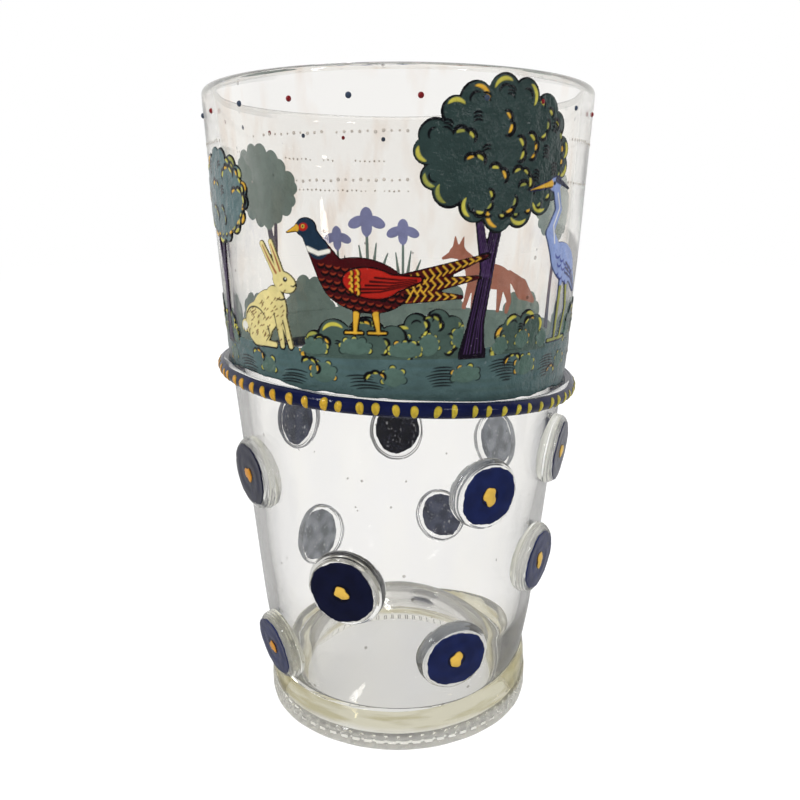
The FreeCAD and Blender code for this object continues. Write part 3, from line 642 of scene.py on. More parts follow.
# A clump of leaves: a few black bows side by side, each with a dab of a paler ink inside
def leafClump(figure, a, b, heading, size, count, dabs):
    spread = 52 + dice.uniform(-8, 8)
    for number in range(count):
        turn = heading + (number - (count - 1) / 2) * spread
        bowA = a + size * 1.25 * math.cos(math.radians(turn))
        bowB = b + size * 1.25 * math.sin(math.radians(turn))
        bow = size * dice.uniform(0.78, 1.1)
        figure.stroke(figure.arc(bowA, bowB, bow * 0.6, turn - 52, turn + 48, bow * 0.27), dice.choice(dabs), 0.1)
        figure.stroke(figure.arc(bowA, bowB, bow, turn - 92, turn + 74, bow * 0.3), "black")


# Fine bows, one below the other
def hatching(figure, a, b, size, count, turn=0.0):
    for number in range(count):
        down = -number * size * 0.52
        aside = a - 0.4 * down * math.sin(math.radians(turn))
        figure.stroke(figure.arc(aside, b + down, size, 40 + turn, 136 + turn, size * 0.19), "black")


# Foliage: a lobed mass with a black edge of uneven width, yellow bows in its lobes and leaf clumps over it
def paintFoliage(figure, wide, tall, shares, fill, clump, floorLine=None):
    edge, middles, radius, outward = lobedEdge(figure.a, figure.b, wide, tall, shares)
    if floorLine is not None:
        edge = np.maximum(edge, floorLine - figure.b)
    figure.fill(edge, fill, "foliageUnder")
    turn = np.arctan2(figure.b, figure.a)
    uneven = 0.52 + 0.38 * np.sin(3 * turn + dice.uniform(0, 6)) * np.sin(8 * turn + dice.uniform(0, 6))
    outer = 1.0 if floorLine is None else figure.b > floorLine + 0.8 / figure.unit
    figure.stroke(-edge - uneven / figure.unit, "black", within=outer)
    dabs = ["yellow", "yellow", "olive", "gold"]
    for middle, size, (outA, outB) in zip(middles, radius, outward):
        if floorLine is not None and middle[1] < floorLine:
            continue
        if dice.random() < 0.72:
            way = math.degrees(math.atan2(outB, outA)) + dice.uniform(-55, 25)
            figure.stroke(figure.arc(*middle, size * 0.7, way - 50, way + 50, min(size * 0.19, 0.55 / figure.unit)),
                          dice.choice(dabs), 0.1)
        if dice.random() < 0.45:
            way = math.degrees(math.atan2(outB, outA)) + dice.uniform(-30, 30)
            figure.stroke(figure.arc(*middle, size * 0.4, way - 70, way + 60, size * 0.08), "black")
    for turn in np.arange(-104, 64, 12.5) if floorLine is None else []:
        way, size = math.radians(turn), 0.6 * clump * dice.uniform(0.8, 1.15)
        bowA, bowB = wide * 0.86 * math.cos(way), tall * 0.86 * math.sin(way)
        figure.stroke(figure.arc(bowA, bowB, size * 0.62, turn - 60, turn + 50, size * 0.36), dice.choice(dabs), 0.1)
        figure.stroke(figure.arc(bowA, bowB, size * 1.25, turn - 86, turn + 76, size * 0.36), "black")
    across = np.arange(-wide, wide, clump * 3.6)
    for row, rowLevel in enumerate(np.arange(-tall, tall, clump * 3.1)):
        for a in across + (row % 2) * clump * 1.8:
            a, b = a + dice.uniform(-0.9, 0.9) * clump, rowLevel + dice.uniform(-0.8, 0.8) * clump
            if (a / wide) ** 2 + (b / tall) ** 2 > 0.66 or (floorLine is not None and b < floorLine + clump):
                continue
            chance = dice.random()
            if chance < 0.6:
                leafClump(figure, a, b, dice.uniform(-40, 120), clump, int(dice.integers(2, 4)), dabs)
            elif chance < 0.92:
                hatching(figure, a, b + clump * 0.5, clump * 0.9, int(dice.integers(2, 5)), dice.uniform(-25, 25))


# The ground: a band from the slanted thread up to the foot line, with an uneven top and a ragged lower edge
def paintGround():
    figure = Figure("ground", 0.0, pictureFoot, 1.0, -56 * math.pi, 57 * math.pi, -24, 4)
    turn = picture.turns[figure.spot[1]] + 0 * figure.a
    figure.a = canvas["radius"] * turn
    top = 0.5 * np.sin(5 * turn + 1) + 0.35 * np.sin(11 * turn) + 0.9
    threadLow, threadHigh = boxOf("thread_enamel")
    slant = (threadHigh[2] - threadLow[2] - 5.5) / (threadHigh[0] - threadLow[0] - 5.5)
    ragged = np.sin(3 * turn + 2.2) + 0.6 * np.sin(7 * turn + 0.4) \
        + 0.3 * np.sin(19 * turn) + 0.15 * np.sin(41 * turn)
    lift = 1.9 + 1.3 * np.clip(ragged, 0, 1)
    clear = (threadLow[2] + threadHigh[2]) / 2 - slant * canvas["radius"] * np.cos(turn) + lift - pictureFoot
    edge = np.maximum(figure.b - top, clear - figure.b)
    figure.fill(edge, "grass", "foliageUnder")
    pale = 0.5 + 0.5 * np.sin(7 * turn + 0.3 * figure.b) * np.sin(2.3 * figure.b + 3 * turn)
    figure.stroke(0.12 - 0.1 * pale, "bush", 0)


# A leafy clod of the ground: a ring of bows round a paler middle, each with a yellow crescent on its inner side
def leafyClod(figure, a, b, wide, tall, bows):
    figure.stroke(figure.oval(a, b, wide, tall, 0), "clod", 0.08)
    for number in range(bows):
        turn = 200 - 220 * number / (bows - 1) + dice.uniform(-6, 6)
        way = math.radians(turn)
        bowA, bowB = a + wide * math.cos(way), b + tall * math.sin(way)
        size = wide * 1.7 / bows * dice.uniform(0.85, 1.15)
        figure.stroke(figure.oval(bowA, bowB, size, size, 0), "clod", 0.08)
        if dice.random() < 0.7:
            figure.stroke(figure.arc(bowA, bowB, size * 0.62, turn - 60, turn + 60, size * 0.24),
                          "yellow" if dice.random() < 0.75 else "gold", 0.1)
        figure.stroke(figure.arc(bowA, bowB, size, turn - 88, turn + 88, size * 0.16), "black")


# Round the ground in turn: a leafy clod, or a bundle of long flat bows
paintGround()
for place, angle in enumerate(np.arange(-180, 180, 10.0)):
    angle = angle + dice.uniform(-2.5, 2.5)
    patch = Figure("ground", angle, pictureFoot, 1.0, -13, 13, -19, 1)
    patch.edge = picture.edges["ground"][patch.spot]
    if place % 2:
        leafyClod(patch, dice.uniform(-1, 1), dice.uniform(-9.5, -4.5), dice.uniform(3.0, 4.4), dice.uniform(2.2, 3.2),
                  int(dice.integers(4, 7)))
        if dice.random() < 0.6:
            leafClump(patch, dice.uniform(-6, -4), dice.uniform(-12, -3), dice.uniform(20, 120), 1.6, 3,
                      ["yellow", "gold"])
        continue
    first, start = dice.uniform(-6.5, -2.0), dice.uniform(-2, 2)
    for number in range(int(dice.integers(5, 9))):
        b = first - number * 0.92 + dice.uniform(-0.12, 0.12)
        span = math.degrees(dice.uniform(7.0, 11.0) * (0.65 + 0.35 * math.sin(0.6 + 0.45 * number)) / 17)
        shift = start + 0.7 * number * math.sin(angle)
        patch.stroke(patch.arc(shift, b - 17, 17, 90 - span / 2, 90 + span / 2, 0.25), "black")

# Bushes: angle, width and height, as shares of a full one
bushPlaces = [(-101, 1.2, 0.8), (-81, 0.8, 1.1), (-52, 0.75, 0.95), (-14, 0.95, 0.9), (28, 0.9, 0.8),
              (70, 0.6, 1.05), (132, 0.85, 1.1), (165, 0.7, 0.85), (-172, 0.8, 1.05), (-155, 0.55, 0.8)]
bushLobes = [1.0, 0.94, 1.06, 0.97, 1.04, 0.95, 1.0, 1.0, 1.0, 1.0, 1.0]
for angle, wide, tall in reversed(bushPlaces):
    figure = Figure("bushes", angle, pictureFoot, pictureTall, -0.34, 0.34, -0.04, 0.24)
    paintFoliage(figure, 0.213 * wide, 0.156 * tall, bushLobes, "bush", 1.7 / pictureTall, -0.012)
    for number in range(3):
        leafyClod(figure, 0.16 * wide * (number - 1) + dice.uniform(-0.02, 0.02), 0.07 * tall * dice.uniform(0.2, 0.9),
                  0.05 * wide, 0.04 * tall, int(dice.integers(5, 8)))
print("frieze: ground and bushes")

# Trees: angle, size as a share of the largest, and the crown's middle. A trunk's joints: across, along, half width.
treePlaces = [(-62, 1.0, 0.794), (-150, 0.7, 0.641), (152, 0.8, 0.696), (12, 0.62, 0.585)]
crownLobes = [1.0, 0.93, 1.02, 0.95, 1.05, 0.97, 1.0, 0.92, 1.03, 0.96, 1.01, 0.94, 0.99, 1.04, 0.93, 1.0, 0.95]
trunkRoute = [(-0.3, 0.0, 0.17), (-0.27, 0.16, 0.11), (-0.14, 0.52, 0.085), (0.02, 0.86, 0.075), (0.1, 1.1, 0.045)]
branchRoute = [(-0.18, 0.4, 0.07), (-0.42, 0.95, 0.035)]
for count, (angle, growth, centre) in enumerate(treePlaces, start=1):
    wide = 0.355 * growth
    figure = Figure("tree_%d_trunk" % count, angle, pictureFoot, pictureTall, -0.3, 0.3, -0.06, 1.0)
    routes = [[(x * wide, y * centre, half * wide) for x, y, half in route] for route in (trunkRoute, branchRoute)]
    limbs = [(*start[:2], *end[:2], start[2], end[2]) for route in routes for start, end in zip(route, route[1:])]
    edge = np.maximum(figure.joined(limbs), -figure.b - 0.02)
    figure.fill(edge, "bark", "barkUnder")
    for offset in np.linspace(-0.7, 0.7, 6):
        for route in routes:
            points = [(x + offset * half + dice.uniform(-0.1, 0.1) * half, y) for x, y, half in route]
            figure.stroke(figure.line(points, 0.16 / figure.unit, 0.05 / figure.unit), "barkPale", 0.08)
    figure.outline(0.3 / figure.unit, "barkLine")
for count, (angle, growth, centre) in reversed(list(enumerate(treePlaces, start=1))):
    figure = Figure("tree_%d_crown" % count, angle, pictureFoot + centre * pictureTall, pictureTall,
                    -0.46, 0.46, -0.36, 0.36)
    paintFoliage(figure, 0.355 * growth, 0.262 * growth, crownLobes, "foliage" if count == 1 else "foliagePale",
                 2.05 / pictureTall)
print("frieze: trees")

# Irises: blades with a pale rib, and flowers with drooping falls
leafShapes = [(0, 0.02, 0, 0.7, 0.02, 0.016), (-0.02, 0.045, -0.22, 0.52, 0.045, 0.008),
              (0.02, 0.045, 0.2, 0.45, 0.045, 0.008), (0.01, 0.04, 0.09, 0.6, 0.04, 0.008),
              (-0.01, 0.04, -0.1, 0.62, 0.04, 0.008)]
flowerShapes = [(0, 0.9, 0.07, 0.1, 0), (-0.11, 0.84, 0.1, 0.06, 25), (0.11, 0.84, 0.1, 0.06, -25),
                (0, 0.78, 0.06, 0.09, 0)]
for angle, growth in [(116, 0.477), (103, 0.596), (88, 0.524)]:
    blades = Figure("iris_leaves", angle, pictureFoot, growth * pictureTall, -0.5, 0.5, -0.05, 1.1)
    for shape in leafShapes:
        blades.fill(blades.limb(*shape), "leaf", "foliageUnder")
        blades.stroke(blades.limb(*shape[:4], 0.007, 0.004), "yellow")
        blades.stroke(np.abs(blades.limb(*shape)) - 0.006, "black")
    bloom = Figure("iris_flowers", angle, pictureFoot, growth * pictureTall, -0.5, 0.5, 0.4, 1.15)
    for number, shape in enumerate(flowerShapes):
        bloom.fill(bloom.oval(*shape), "iris" if number % 2 else "blue", "irisUnder")
        bloom.stroke(np.abs(bloom.oval(*shape)) - 0.007, "deepBlue")
    for turn in (40, 90, 140, 215, 325):
        c, s = math.cos(math.radians(turn)), math.sin(math.radians(turn))
        bloom.draw(("deepBlue", "line", [(0.02 * c, 0.83 + 0.02 * s), (0.12 * c, 0.83 + 0.1 * s)], 0.006, 0.002))
    bloom.draw(("gold", "oval", 0, 0.83, 0.022, 0.045, 0))

# Animals, in shares of each one's height from the middle of its foot
foxShapes = [
    (0, 0.46, 0.38, 0.17, 3), (0.28, 0.5, 0.18, 0.181, 0), (0.6, 0.77, 0.13, 0.1, -20),
    (0.34, 0.56, 0.54, 0.74, 0.13, 0.09), (0.66, 0.74, 0.81, 0.67, 0.06, 0.022),
    (0.55, 0.82, 0.51, 0.98, 0.05, 0.012), (0.63, 0.85, 0.64, 0.98, 0.045, 0.012),
    (0.26, 0.38, 0.31, 0.032, 0.07, 0.032), (0.35, 0.38, 0.45, 0.03, 0.06, 0.03),
    (-0.27, 0.38, -0.36, 0.17, 0.1, 0.045), (-0.36, 0.17, -0.32, 0.03, 0.045, 0.03),
    (-0.17, 0.34, -0.14, 0.03, 0.07, 0.03), (-0.34, 0.5, -0.62, 0.34, 0.06, 0.13),
    (-0.62, 0.34, -0.9, 0.23, 0.13, 0.03)]
heronShapes = [
    (0, 0.48, 0.19, 0.11, -24), (-0.2, 0.93, 0.065, 0.043, 8), (-0.13, 0.55, -0.21, 0.66, 0.06, 0.04),
    (-0.21, 0.66, -0.14, 0.79, 0.04, 0.034), (-0.14, 0.79, -0.185, 0.91, 0.034, 0.036),
    (-0.25, 0.93, -0.41, 0.895, 0.022, 0.006), (-0.16, 0.95, -0.04, 0.91, 0.018, 0.007),
    (0.12, 0.42, 0.26, 0.3, 0.06, 0.022), (-0.02, 0.38, -0.03, 0.02, 0.022, 0.015),
    (0.06, 0.37, 0.1, 0.2, 0.022, 0.016), (0.1, 0.2, 0.05, 0.02, 0.016, 0.015),
    (-0.11, 0.015, 0, 0.015, 0.014, 0.013), (0.02, 0.015, 0.12, 0.015, 0.014, 0.013)]
pheasantShapes = [
    (0, 0.42, 0.38, 0.23, -10), (-0.49, 0.89, 0.1, 0.085, 0), (-0.27, 0.52, -0.46, 0.84, 0.14, 0.075),
    (-0.56, 0.89, -0.67, 0.85, 0.035, 0.01), (0.28, 0.4, 1.0, 0.66, 0.11, 0.02),
    (0.28, 0.38, 0.93, 0.48, 0.1, 0.02), (0.26, 0.35, 0.8, 0.32, 0.09, 0.02),
    (-0.06, 0.24, -0.08, 0.025, 0.04, 0.022), (0.09, 0.24, 0.12, 0.025, 0.04, 0.022),
    (-0.16, 0.02, -0.02, 0.02, 0.018, 0.017), (0.04, 0.02, 0.18, 0.02, 0.018, 0.017)]
wingShapes = [(0.06, 0.44, 0.24, 0.13, -8), (0.2, 0.43, 0.46, 0.47, 0.09, 0.025)]
hareShapes = [
    (-0.15, 0.21, 0.21, 0.21, 0), (-0.03, 0.32, 0.26, 0.18, 48), (0.13, 0.41, 0.13, 0.18, 10),
    (0.25, 0.62, 0.14, 0.1, -18), (-0.37, 0.17, 0.08, 0.07, 20), (0.17, 0.68, 0.02, 0.95, 0.045, 0.035),
    (0.22, 0.7, 0.13, 0.97, 0.045, 0.032), (0.14, 0.3, 0.17, 0.035, 0.055, 0.033),
    (0.2, 0.31, 0.27, 0.035, 0.05, 0.03), (-0.2, 0.043, 0.08, 0.035, 0.042, 0.032)]


# Short strokes of fur, scattered where a shape is deep enough, all leaning one way
def tufts(figure, box, count, lean, length, half, ink, depth=0.9):
    left, right, low, high = box
    for a, b in zip(dice.uniform(left, right, count), dice.uniform(low, high, count)):
        row, column = np.argmin(np.abs(figure.b[:, 0] - b)), np.argmin(np.abs(figure.a[0] - a))
        if figure.edge[row, column] > -depth:
            continue
        turn = math.radians(lean + dice.uniform(-14, 14))
        end = (a + length * math.cos(turn), b + length * math.sin(turn))
        figure.draw((ink, "line", [(a, b), end], half, half * 0.4))


# A fox with a pale chest and tail end, and dark paws
def paintFox():
    figure = Figure("fox", 48, pictureFoot, 0.426 * pictureTall, -1.1, 1.0, -0.05, 1.1)
    figure.fill(figure.joined(foxShapes), "russet", "russetUnder")
    thin = 0.25 / figure.unit
    figure.draw(("cream", "joined", [(0.3, 0.44, 0.13, 0.11, 20), (0.72, 0.7, 0.08, 0.035, -25)]),
                ("cream", "limb", -0.78, 0.28, -0.92, 0.22, 0.09, 0.03))
    tufts(figure, (-0.9, 0.5, 0.2, 0.8), 110, 205, 0.07, 0.01, "russetDark")
    tufts(figure, (-0.9, 0.5, 0.2, 0.8), 50, 205, 0.06, 0.008, "russetPale")
    for leg in ((0.28, 0.16, 0.31), (0.42, 0.14, 0.45), (-0.35, 0.12, -0.32), (-0.15, 0.14, -0.14)):
        figure.draw(("paw", "limb", *leg, 0.03, 0.035, 0.05))
    figure.draw(("black", "oval", 0.64, 0.78, 0.018, 0.016, 0),
                ("black", "oval", 0.815, 0.67, 0.02, 0.016, 0),
                ("black", "line", [(0.18, 0.36), (0.1, 0.44), (0.12, 0.56)], thin, thin * 0.4),
                ("black", "line", [(-0.14, 0.32), (-0.1, 0.42), (-0.16, 0.54)], thin, thin * 0.4))
    figure.outline(0.3 / figure.unit)


# A heron with scalloped feathers, long plumes and a crest
def paintHeron():
    figure = Figure("heron", -34, pictureFoot, 0.738 * pictureTall, -0.5, 0.4, -0.05, 1.05)
    figure.fill(figure.joined(heronShapes), "blue", "blueUnder")
    thin = 0.24 / figure.unit
    for row in range(5):
        for number in range(5):
            a, b = -0.1 + 0.058 * number + 0.028 * (row % 2), 0.545 - 0.052 * row - 0.024 * number
            figure.draw(("deepBlue", "arc", a, b, 0.032, 190, 330, 0.007))
    for shift in (0.0, 0.03, 0.06):
        figure.draw(("plume", "line", [(0.02, 0.42 + shift), (0.13, 0.38 + shift * 0.7), (0.25, 0.29 + shift * 0.3)],
                     0.007, 0.004))
    figure.draw(("white", "line", [(-0.155, 0.6), (-0.185, 0.7), (-0.135, 0.8), (-0.17, 0.88)], thin, thin),
                ("gold", "limb", -0.25, 0.93, -0.42, 0.893, 0.024, 0.01),
                ("black", "limb", -0.23, 0.915, -0.4, 0.893, 0.004, 0.003),
                ("crest", "limb", -0.19, 0.955, -0.03, 0.908, 0.018, 0.01),
                ("black", "oval", -0.215, 0.935, 0.012, 0.011, 0))
    legs = np.minimum.reduce([figure.limb(*leg) for leg in (
        (-0.025, 0.34, -0.03, 0.0, 0.03, 0.03), (0.07, 0.33, 0.1, 0.2, 0.03, 0.03),
        (0.1, 0.2, 0.05, 0.0, 0.03, 0.06), (-0.12, 0.012, 0.14, 0.012, 0.03, 0.03))])
    figure.stroke(np.maximum(legs, figure.b - 0.345), "olive")
    figure.outline(0.22 / figure.unit, "blueLine")


# A pheasant with scaled feathers, a barred tail and a hood, and its wing as a piece of its own
def paintPheasant():
    stand = (-99, pictureFoot + 0.085 * pictureTall, 0.482 * pictureTall)  # it stands a little above the foot line
    figure = Figure("pheasant", *stand, -0.8, 1.15, -0.05, 1.1)
    figure.fill(figure.joined(pheasantShapes), "maroon", "maroonUnder")
    for row in range(7):
        for number in range(11):
            a, b = -0.36 + 0.07 * number + 0.035 * (row % 2), 0.6 - 0.062 * row - 0.012 * number
            figure.draw(("scaleDark", "arc", a, b, 0.036, 195, 345, 0.01),
                        ("scalePale", "arc", a, b + 0.016, 0.03, 215, 325, 0.007))
    for start, end, bars in (((0.36, 0.43), (0.98, 0.655), 11), ((0.36, 0.39), (0.9, 0.48), 9),
                             ((0.34, 0.345), (0.77, 0.32), 7)):
        figure.draw(("quill", "line", [start, end], 0.01, 0.005))
        for share in np.linspace(0.08, 0.92, bars):
            a, b = start[0] + share * (end[0] - start[0]), start[1] + share * (end[1] - start[1])
            reach = 0.062 * (1 - 0.7 * share)
            figure.draw(("gold", "line", [(a - 0.02, b + reach), (a + 0.016, b), (a - 0.02, b - reach)], 0.007,
                         0.005))
    figure.draw(("hood", "joined", [(-0.49, 0.89, 0.1, 0.085, 0), (-0.46, 0.84, -0.38, 0.72, 0.075, 0.09)]),
                ("white", "line", [(-0.48, 0.72), (-0.38, 0.68), (-0.29, 0.7)], 0.02, 0.018),
                ("red", "oval", -0.51, 0.895, 0.042, 0.032, 10),
                ("yellow", "oval", -0.51, 0.9, 0.016, 0.016, 0),
                ("black", "oval", -0.51, 0.9, 0.009, 0.009, 0),
                ("gold", "limb", -0.58, 0.885, -0.68, 0.85, 0.032, 0.012))
    for leg in (-0.07, 0.105):
        figure.draw(("gold", "limb", leg, 0.17, leg - 0.005, 0.02, 0.034, 0.05))
    figure.stroke(np.maximum(figure.limb(-0.18, 0.02, 0.2, 0.02, 0.03, 0.03), figure.b - 0.05), "gold")
    figure.outline(0.3 / figure.unit, "maroonLine")
    wing = Figure("pheasant_wing", *stand, -0.3, 0.6, 0.2, 0.7)
    wing.fill(wing.joined(wingShapes), "red", "redUnder")
    for number in range(5):
        shift = number * 0.04
        wing.draw(("redDark", "line", [(-0.06 + shift, 0.36 + shift * 0.8), (0.14 + shift, 0.37 + shift * 0.62),
                                       (0.44, 0.455 + (number - 2) * 0.01)], 0.01, 0.004))
    for row in range(2):
        for number in range(4):
            wing.draw(("gold", "arc", -0.13 + 0.055 * row, 0.52 - 0.052 * number, 0.036, -80, 70, 0.01),
                      ("barDark", "arc", -0.12 + 0.055 * row, 0.52 - 0.052 * number, 0.042, -80, 70, 0.006))
    wing.outline(0.26 / wing.unit, "redLine")


# A sitting hare with a speckled coat
def paintHare():
    figure = Figure("hare", -130, pictureFoot, 0.468 * pictureTall, -0.55, 0.5, -0.05, 1.1)
    figure.fill(figure.joined(hareShapes), "cream", "creamUnder")
    thin = 0.26 / figure.unit
    tufts(figure, (-0.4, 0.3, 0.08, 0.6), 120, 215, 0.035, 0.007, "fur")
    figure.draw(("black", "arc", -0.17, 0.2, 0.17, 20, 175, thin),
                ("black", "line", [(0.0, 0.2), (0.02, 0.12), (-0.04, 0.06)], thin, thin * 0.5),
                ("black", "line", [(0.1, 0.33), (0.12, 0.2), (0.14, 0.06)], thin * 0.8, thin * 0.5),
                ("black", "line", [(0.2, 0.27), (0.22, 0.18), (0.23, 0.06)], thin * 0.8, thin * 0.5),
                ("ear", "line", [(0.17, 0.7), (0.09, 0.83), (0.03, 0.94)], 0.012, 0.006),
                ("ear", "line", [(0.22, 0.72), (0.18, 0.84), (0.135, 0.95)], 0.012, 0.006),
                ("black", "arc", 0.2, 0.56, 0.1, -120, -20, thin),
                ("black", "oval", 0.27, 0.645, 0.024, 0.022, 0),
                ("white", "oval", 0.276, 0.652, 0.008, 0.008, 0),
                ("black", "line", [(0.385, 0.605), (0.355, 0.585), (0.33, 0.59)], thin, thin * 0.6),
                ("white", "oval", -0.37, 0.17, 0.05, 0.045, 20))
    for number in range(3):
        figure.draw(("black", "arc", -0.31 + 0.05 * number, 0.1, 0.09, 150, 215, 0.008))
    figure.outline(0.3 / figure.unit)


paintFox()
paintHeron()
paintPheasant()
paintHare()
print("frieze: animals")


# A coat: the cells of the picture's grid whose four corners lie inside its edge, with the corners near the edge
# slid on to it along the slope of the distance. The coat's height rises from its edge as a quarter circle does.
def cutOut(name, firstColumn, count):
    pitch = canvas["pitch"]
    pick = np.arange(firstColumn, firstColumn + count + 1) % picture.columns
    edge = (picture.edges[name] + canvas["slack"])[:, pick]
    active = edge < 0.6 * pitch
    cells = active[:-1, :-1] & active[:-1, 1:] & active[1:, :-1] & active[1:, 1:]
    used = np.zeros_like(active)
    for rows in (slice(0, -1), slice(1, None)):
        for across in (slice(0, -1), slice(1, None)):
            used[rows, across] |= cells
    slopeZ, slopeA = np.gradient(edge, pitch)
    steep = np.maximum(slopeZ ** 2 + slopeA ** 2, 0.25)
    slide = np.clip(np.where(edge > -0.45 * pitch, -edge / steep, 0), -pitch, pitch)
    place = np.nonzero(used)
    level = picture.levels[place[0]] + (slide * slopeZ)[place]
    turn = picture.turns[pick[place[1]]] + (slide * slopeA)[place] / canvas["radius"]
    depth = np.clip(-edge[place] / canvas["roundEdge"], 0, 1)
    height = canvas["thickness"] * np.sqrt(1 - (1 - depth) ** 2) + 0.02
    height = height + picture.raised[:, pick][place] * np.clip(depth * 2, 0, 1)
    points = np.vstack([around(wallRadius(level) + away, turn, level) for away in (height, -canvas["sunk"])])
    index = np.full(used.shape, -1)
    index[place] = np.arange(len(level))
    corner = [index[:-1, :-1], index[:-1, 1:], index[1:, 1:], index[1:, :-1]]
    top = np.stack([part[cells] for part in corner], axis=-1)
    total = len(level)
    faces = [top, top[:, ::-1] + total]
    padded = np.pad(cells, 1)
    beyond = [padded[:-2, 1:-1], padded[1:-1, 2:], padded[2:, 1:-1], padded[1:-1, :-2]]
    for side in range(4):  # a wall down to the glass wherever a cell has no neighbour
        bare = cells & ~beyond[side]
        start, end = corner[side][bare], corner[(side + 1) % 4][bare]
        faces.append(np.stack([end, start, start + total, end + total], axis=-1))
    return points, faces, np.vstack([layer[:, pick][place] for layer in (picture.colour, picture.under)])


# The ground goes all round, so it is made as two pieces
coatOf = {}
half = picture.columns // 2
for name in picture.edges:
    slotName = slotOf[name]
    if slotName not in coatOf:
        coatOf[slotName] = enamelFinish("painted_" + slotName, None, 0.84, 1.16, 0.06, 0.0026)
    parts = {"": (0, picture.columns)}
    if name == "ground":
        parts = {"_1": (0, half), "_2": (half, picture.columns - half)}
    for ending, (first, count) in parts.items():
        points, faces, colours = cutOut(name, first, count)
        newPiece("painted_" + name + ending, points, faces, coatOf[slotName], [name], paint=colours)
        print("coat:", name, len(points), "points")


# A unit pebble: a half circle carried round, with one point at each end. Points are across, along and high.
def unitPebble(rows, columns):
    rise = np.linspace(0, math.pi, rows + 2)
    return turned(np.stack([np.sin(rise), -np.cos(rise)], axis=-1), columns)


# What lies above a pebble's middle is raised by one height, and what lies below it by another
def domed(level, above, below):
    return np.where(level > 0, level * above, level * below)


# Copies of one mesh of points per copy: the faces are repeated, each time further on by the number of points
def repeated(faces, copies, size):
    return [(group[None] + size * np.arange(copies)[:, None, None]).reshape(-1, group.shape[1]) for group in faces]


# Soft random clouds from 0 to 1: a mean of plane waves of one length, each with its own heading and phase
def clouds(x, y, length, seed, count=9):
    phases = np.random.default_rng(seed).uniform(0, 2 * math.pi, count)
    ways = np.arange(count) * 2.4
    rates = 2 * math.pi / length * (0.6 + 0.8 * np.arange(count) / count)
    waves = [np.sin((x * math.cos(way) + y * math.sin(way)) * rate + phase)
             for way, rate, phase in zip(ways, rates, phases)]
    return 0.5 + 0.5 * np.tanh(sum(waves) / math.sqrt(count) * 1.3)


# The thread of glass round the wall: a slanted ring with slow changes of width and level
thread = {"tube": 2.45, "rise": 4.0, "ring": 61.8, "level": 125.4, "coat": 0.3, "coverLow": 100.0,
          "coverHigh": 70.0, "sunk": 0.12, "columns": 432, "dashes": 72, "dashWidth": 2.5, "dashReach": 50.0,
          "dashThick": 0.3, "aside": 0.33}
threadTilt = math.atan2(thread["rise"], thread["ring"])


# A place on the thread: its turn round the ring, the angle round its tube (0 outwards, 90 up) and the tube's radius.
# The ring lies flat at first, and is then tilted about the axis from front to back, so that its left side rises.
def onThread(turn, section, radius):
    tube = radius * (1 + 0.035 * np.sin(3 * turn + 0.7) + 0.02 * np.sin(8 * turn))
    ring = thread["ring"] + 0.12 * np.sin(5 * turn)
    out = ring + tube * np.cos(section)
    x, y, z = out * np.cos(turn), out * np.sin(turn), tube * np.sin(section) + 0.25 * np.sin(4 * turn + 1)
    c, s = math.cos(threadTilt), math.sin(threadTilt)
    return np.stack([x * c + z * s - thread["aside"], y + 0 * z, z * c - x * s + thread["level"]], axis=-1)


# The thread's glass, and the navy coat that covers its outer side from an uneven upper to an uneven lower edge
def makeThread():
    turn = np.linspace(0, 2 * math.pi, thread["columns"], endpoint=False)[None, :]
    section = np.linspace(-math.pi, math.pi, 40, endpoint=False)[:, None]
    points = onThread(turn, section, thread["tube"])
    buried = np.hypot(points[..., 0], points[..., 1]) < wallRadius(points[..., 2]) - 0.1
    newPiece("glass_thread", points.reshape(-1, 3), [gridFaces(40, thread["columns"], True, True)], clearGlass,
             ["thread"], buried.ravel().astype(float))
    share = np.linspace(-1, 1, 25)[:, None]
    low = math.radians(thread["coverLow"]) * (1 + 0.03 * np.sin(9 * turn) + 0.02 * np.sin(23 * turn + 1))
    high = math.radians(thread["coverHigh"]) * (1 + 0.1 * np.sin(6 * turn + 2) + 0.04 * np.sin(17 * turn))
    cover = (high + low) / 2
    outer = onThread(turn, share * cover + (high - low) / 2,
                     thread["tube"] + thread["coat"] * np.sqrt(np.clip(1 - share ** 4, 0, 1)))
    inner = onThread(turn, share[::-1] * cover + (high - low) / 2, thread["tube"] - thread["sunk"] + 0 * share[::-1])
    newPiece("navy_coat", np.vstack([outer, inner]).reshape(-1, 3), [gridFaces(50, thread["columns"], True, True)],
             navyCoat, ["thread_enamel"])


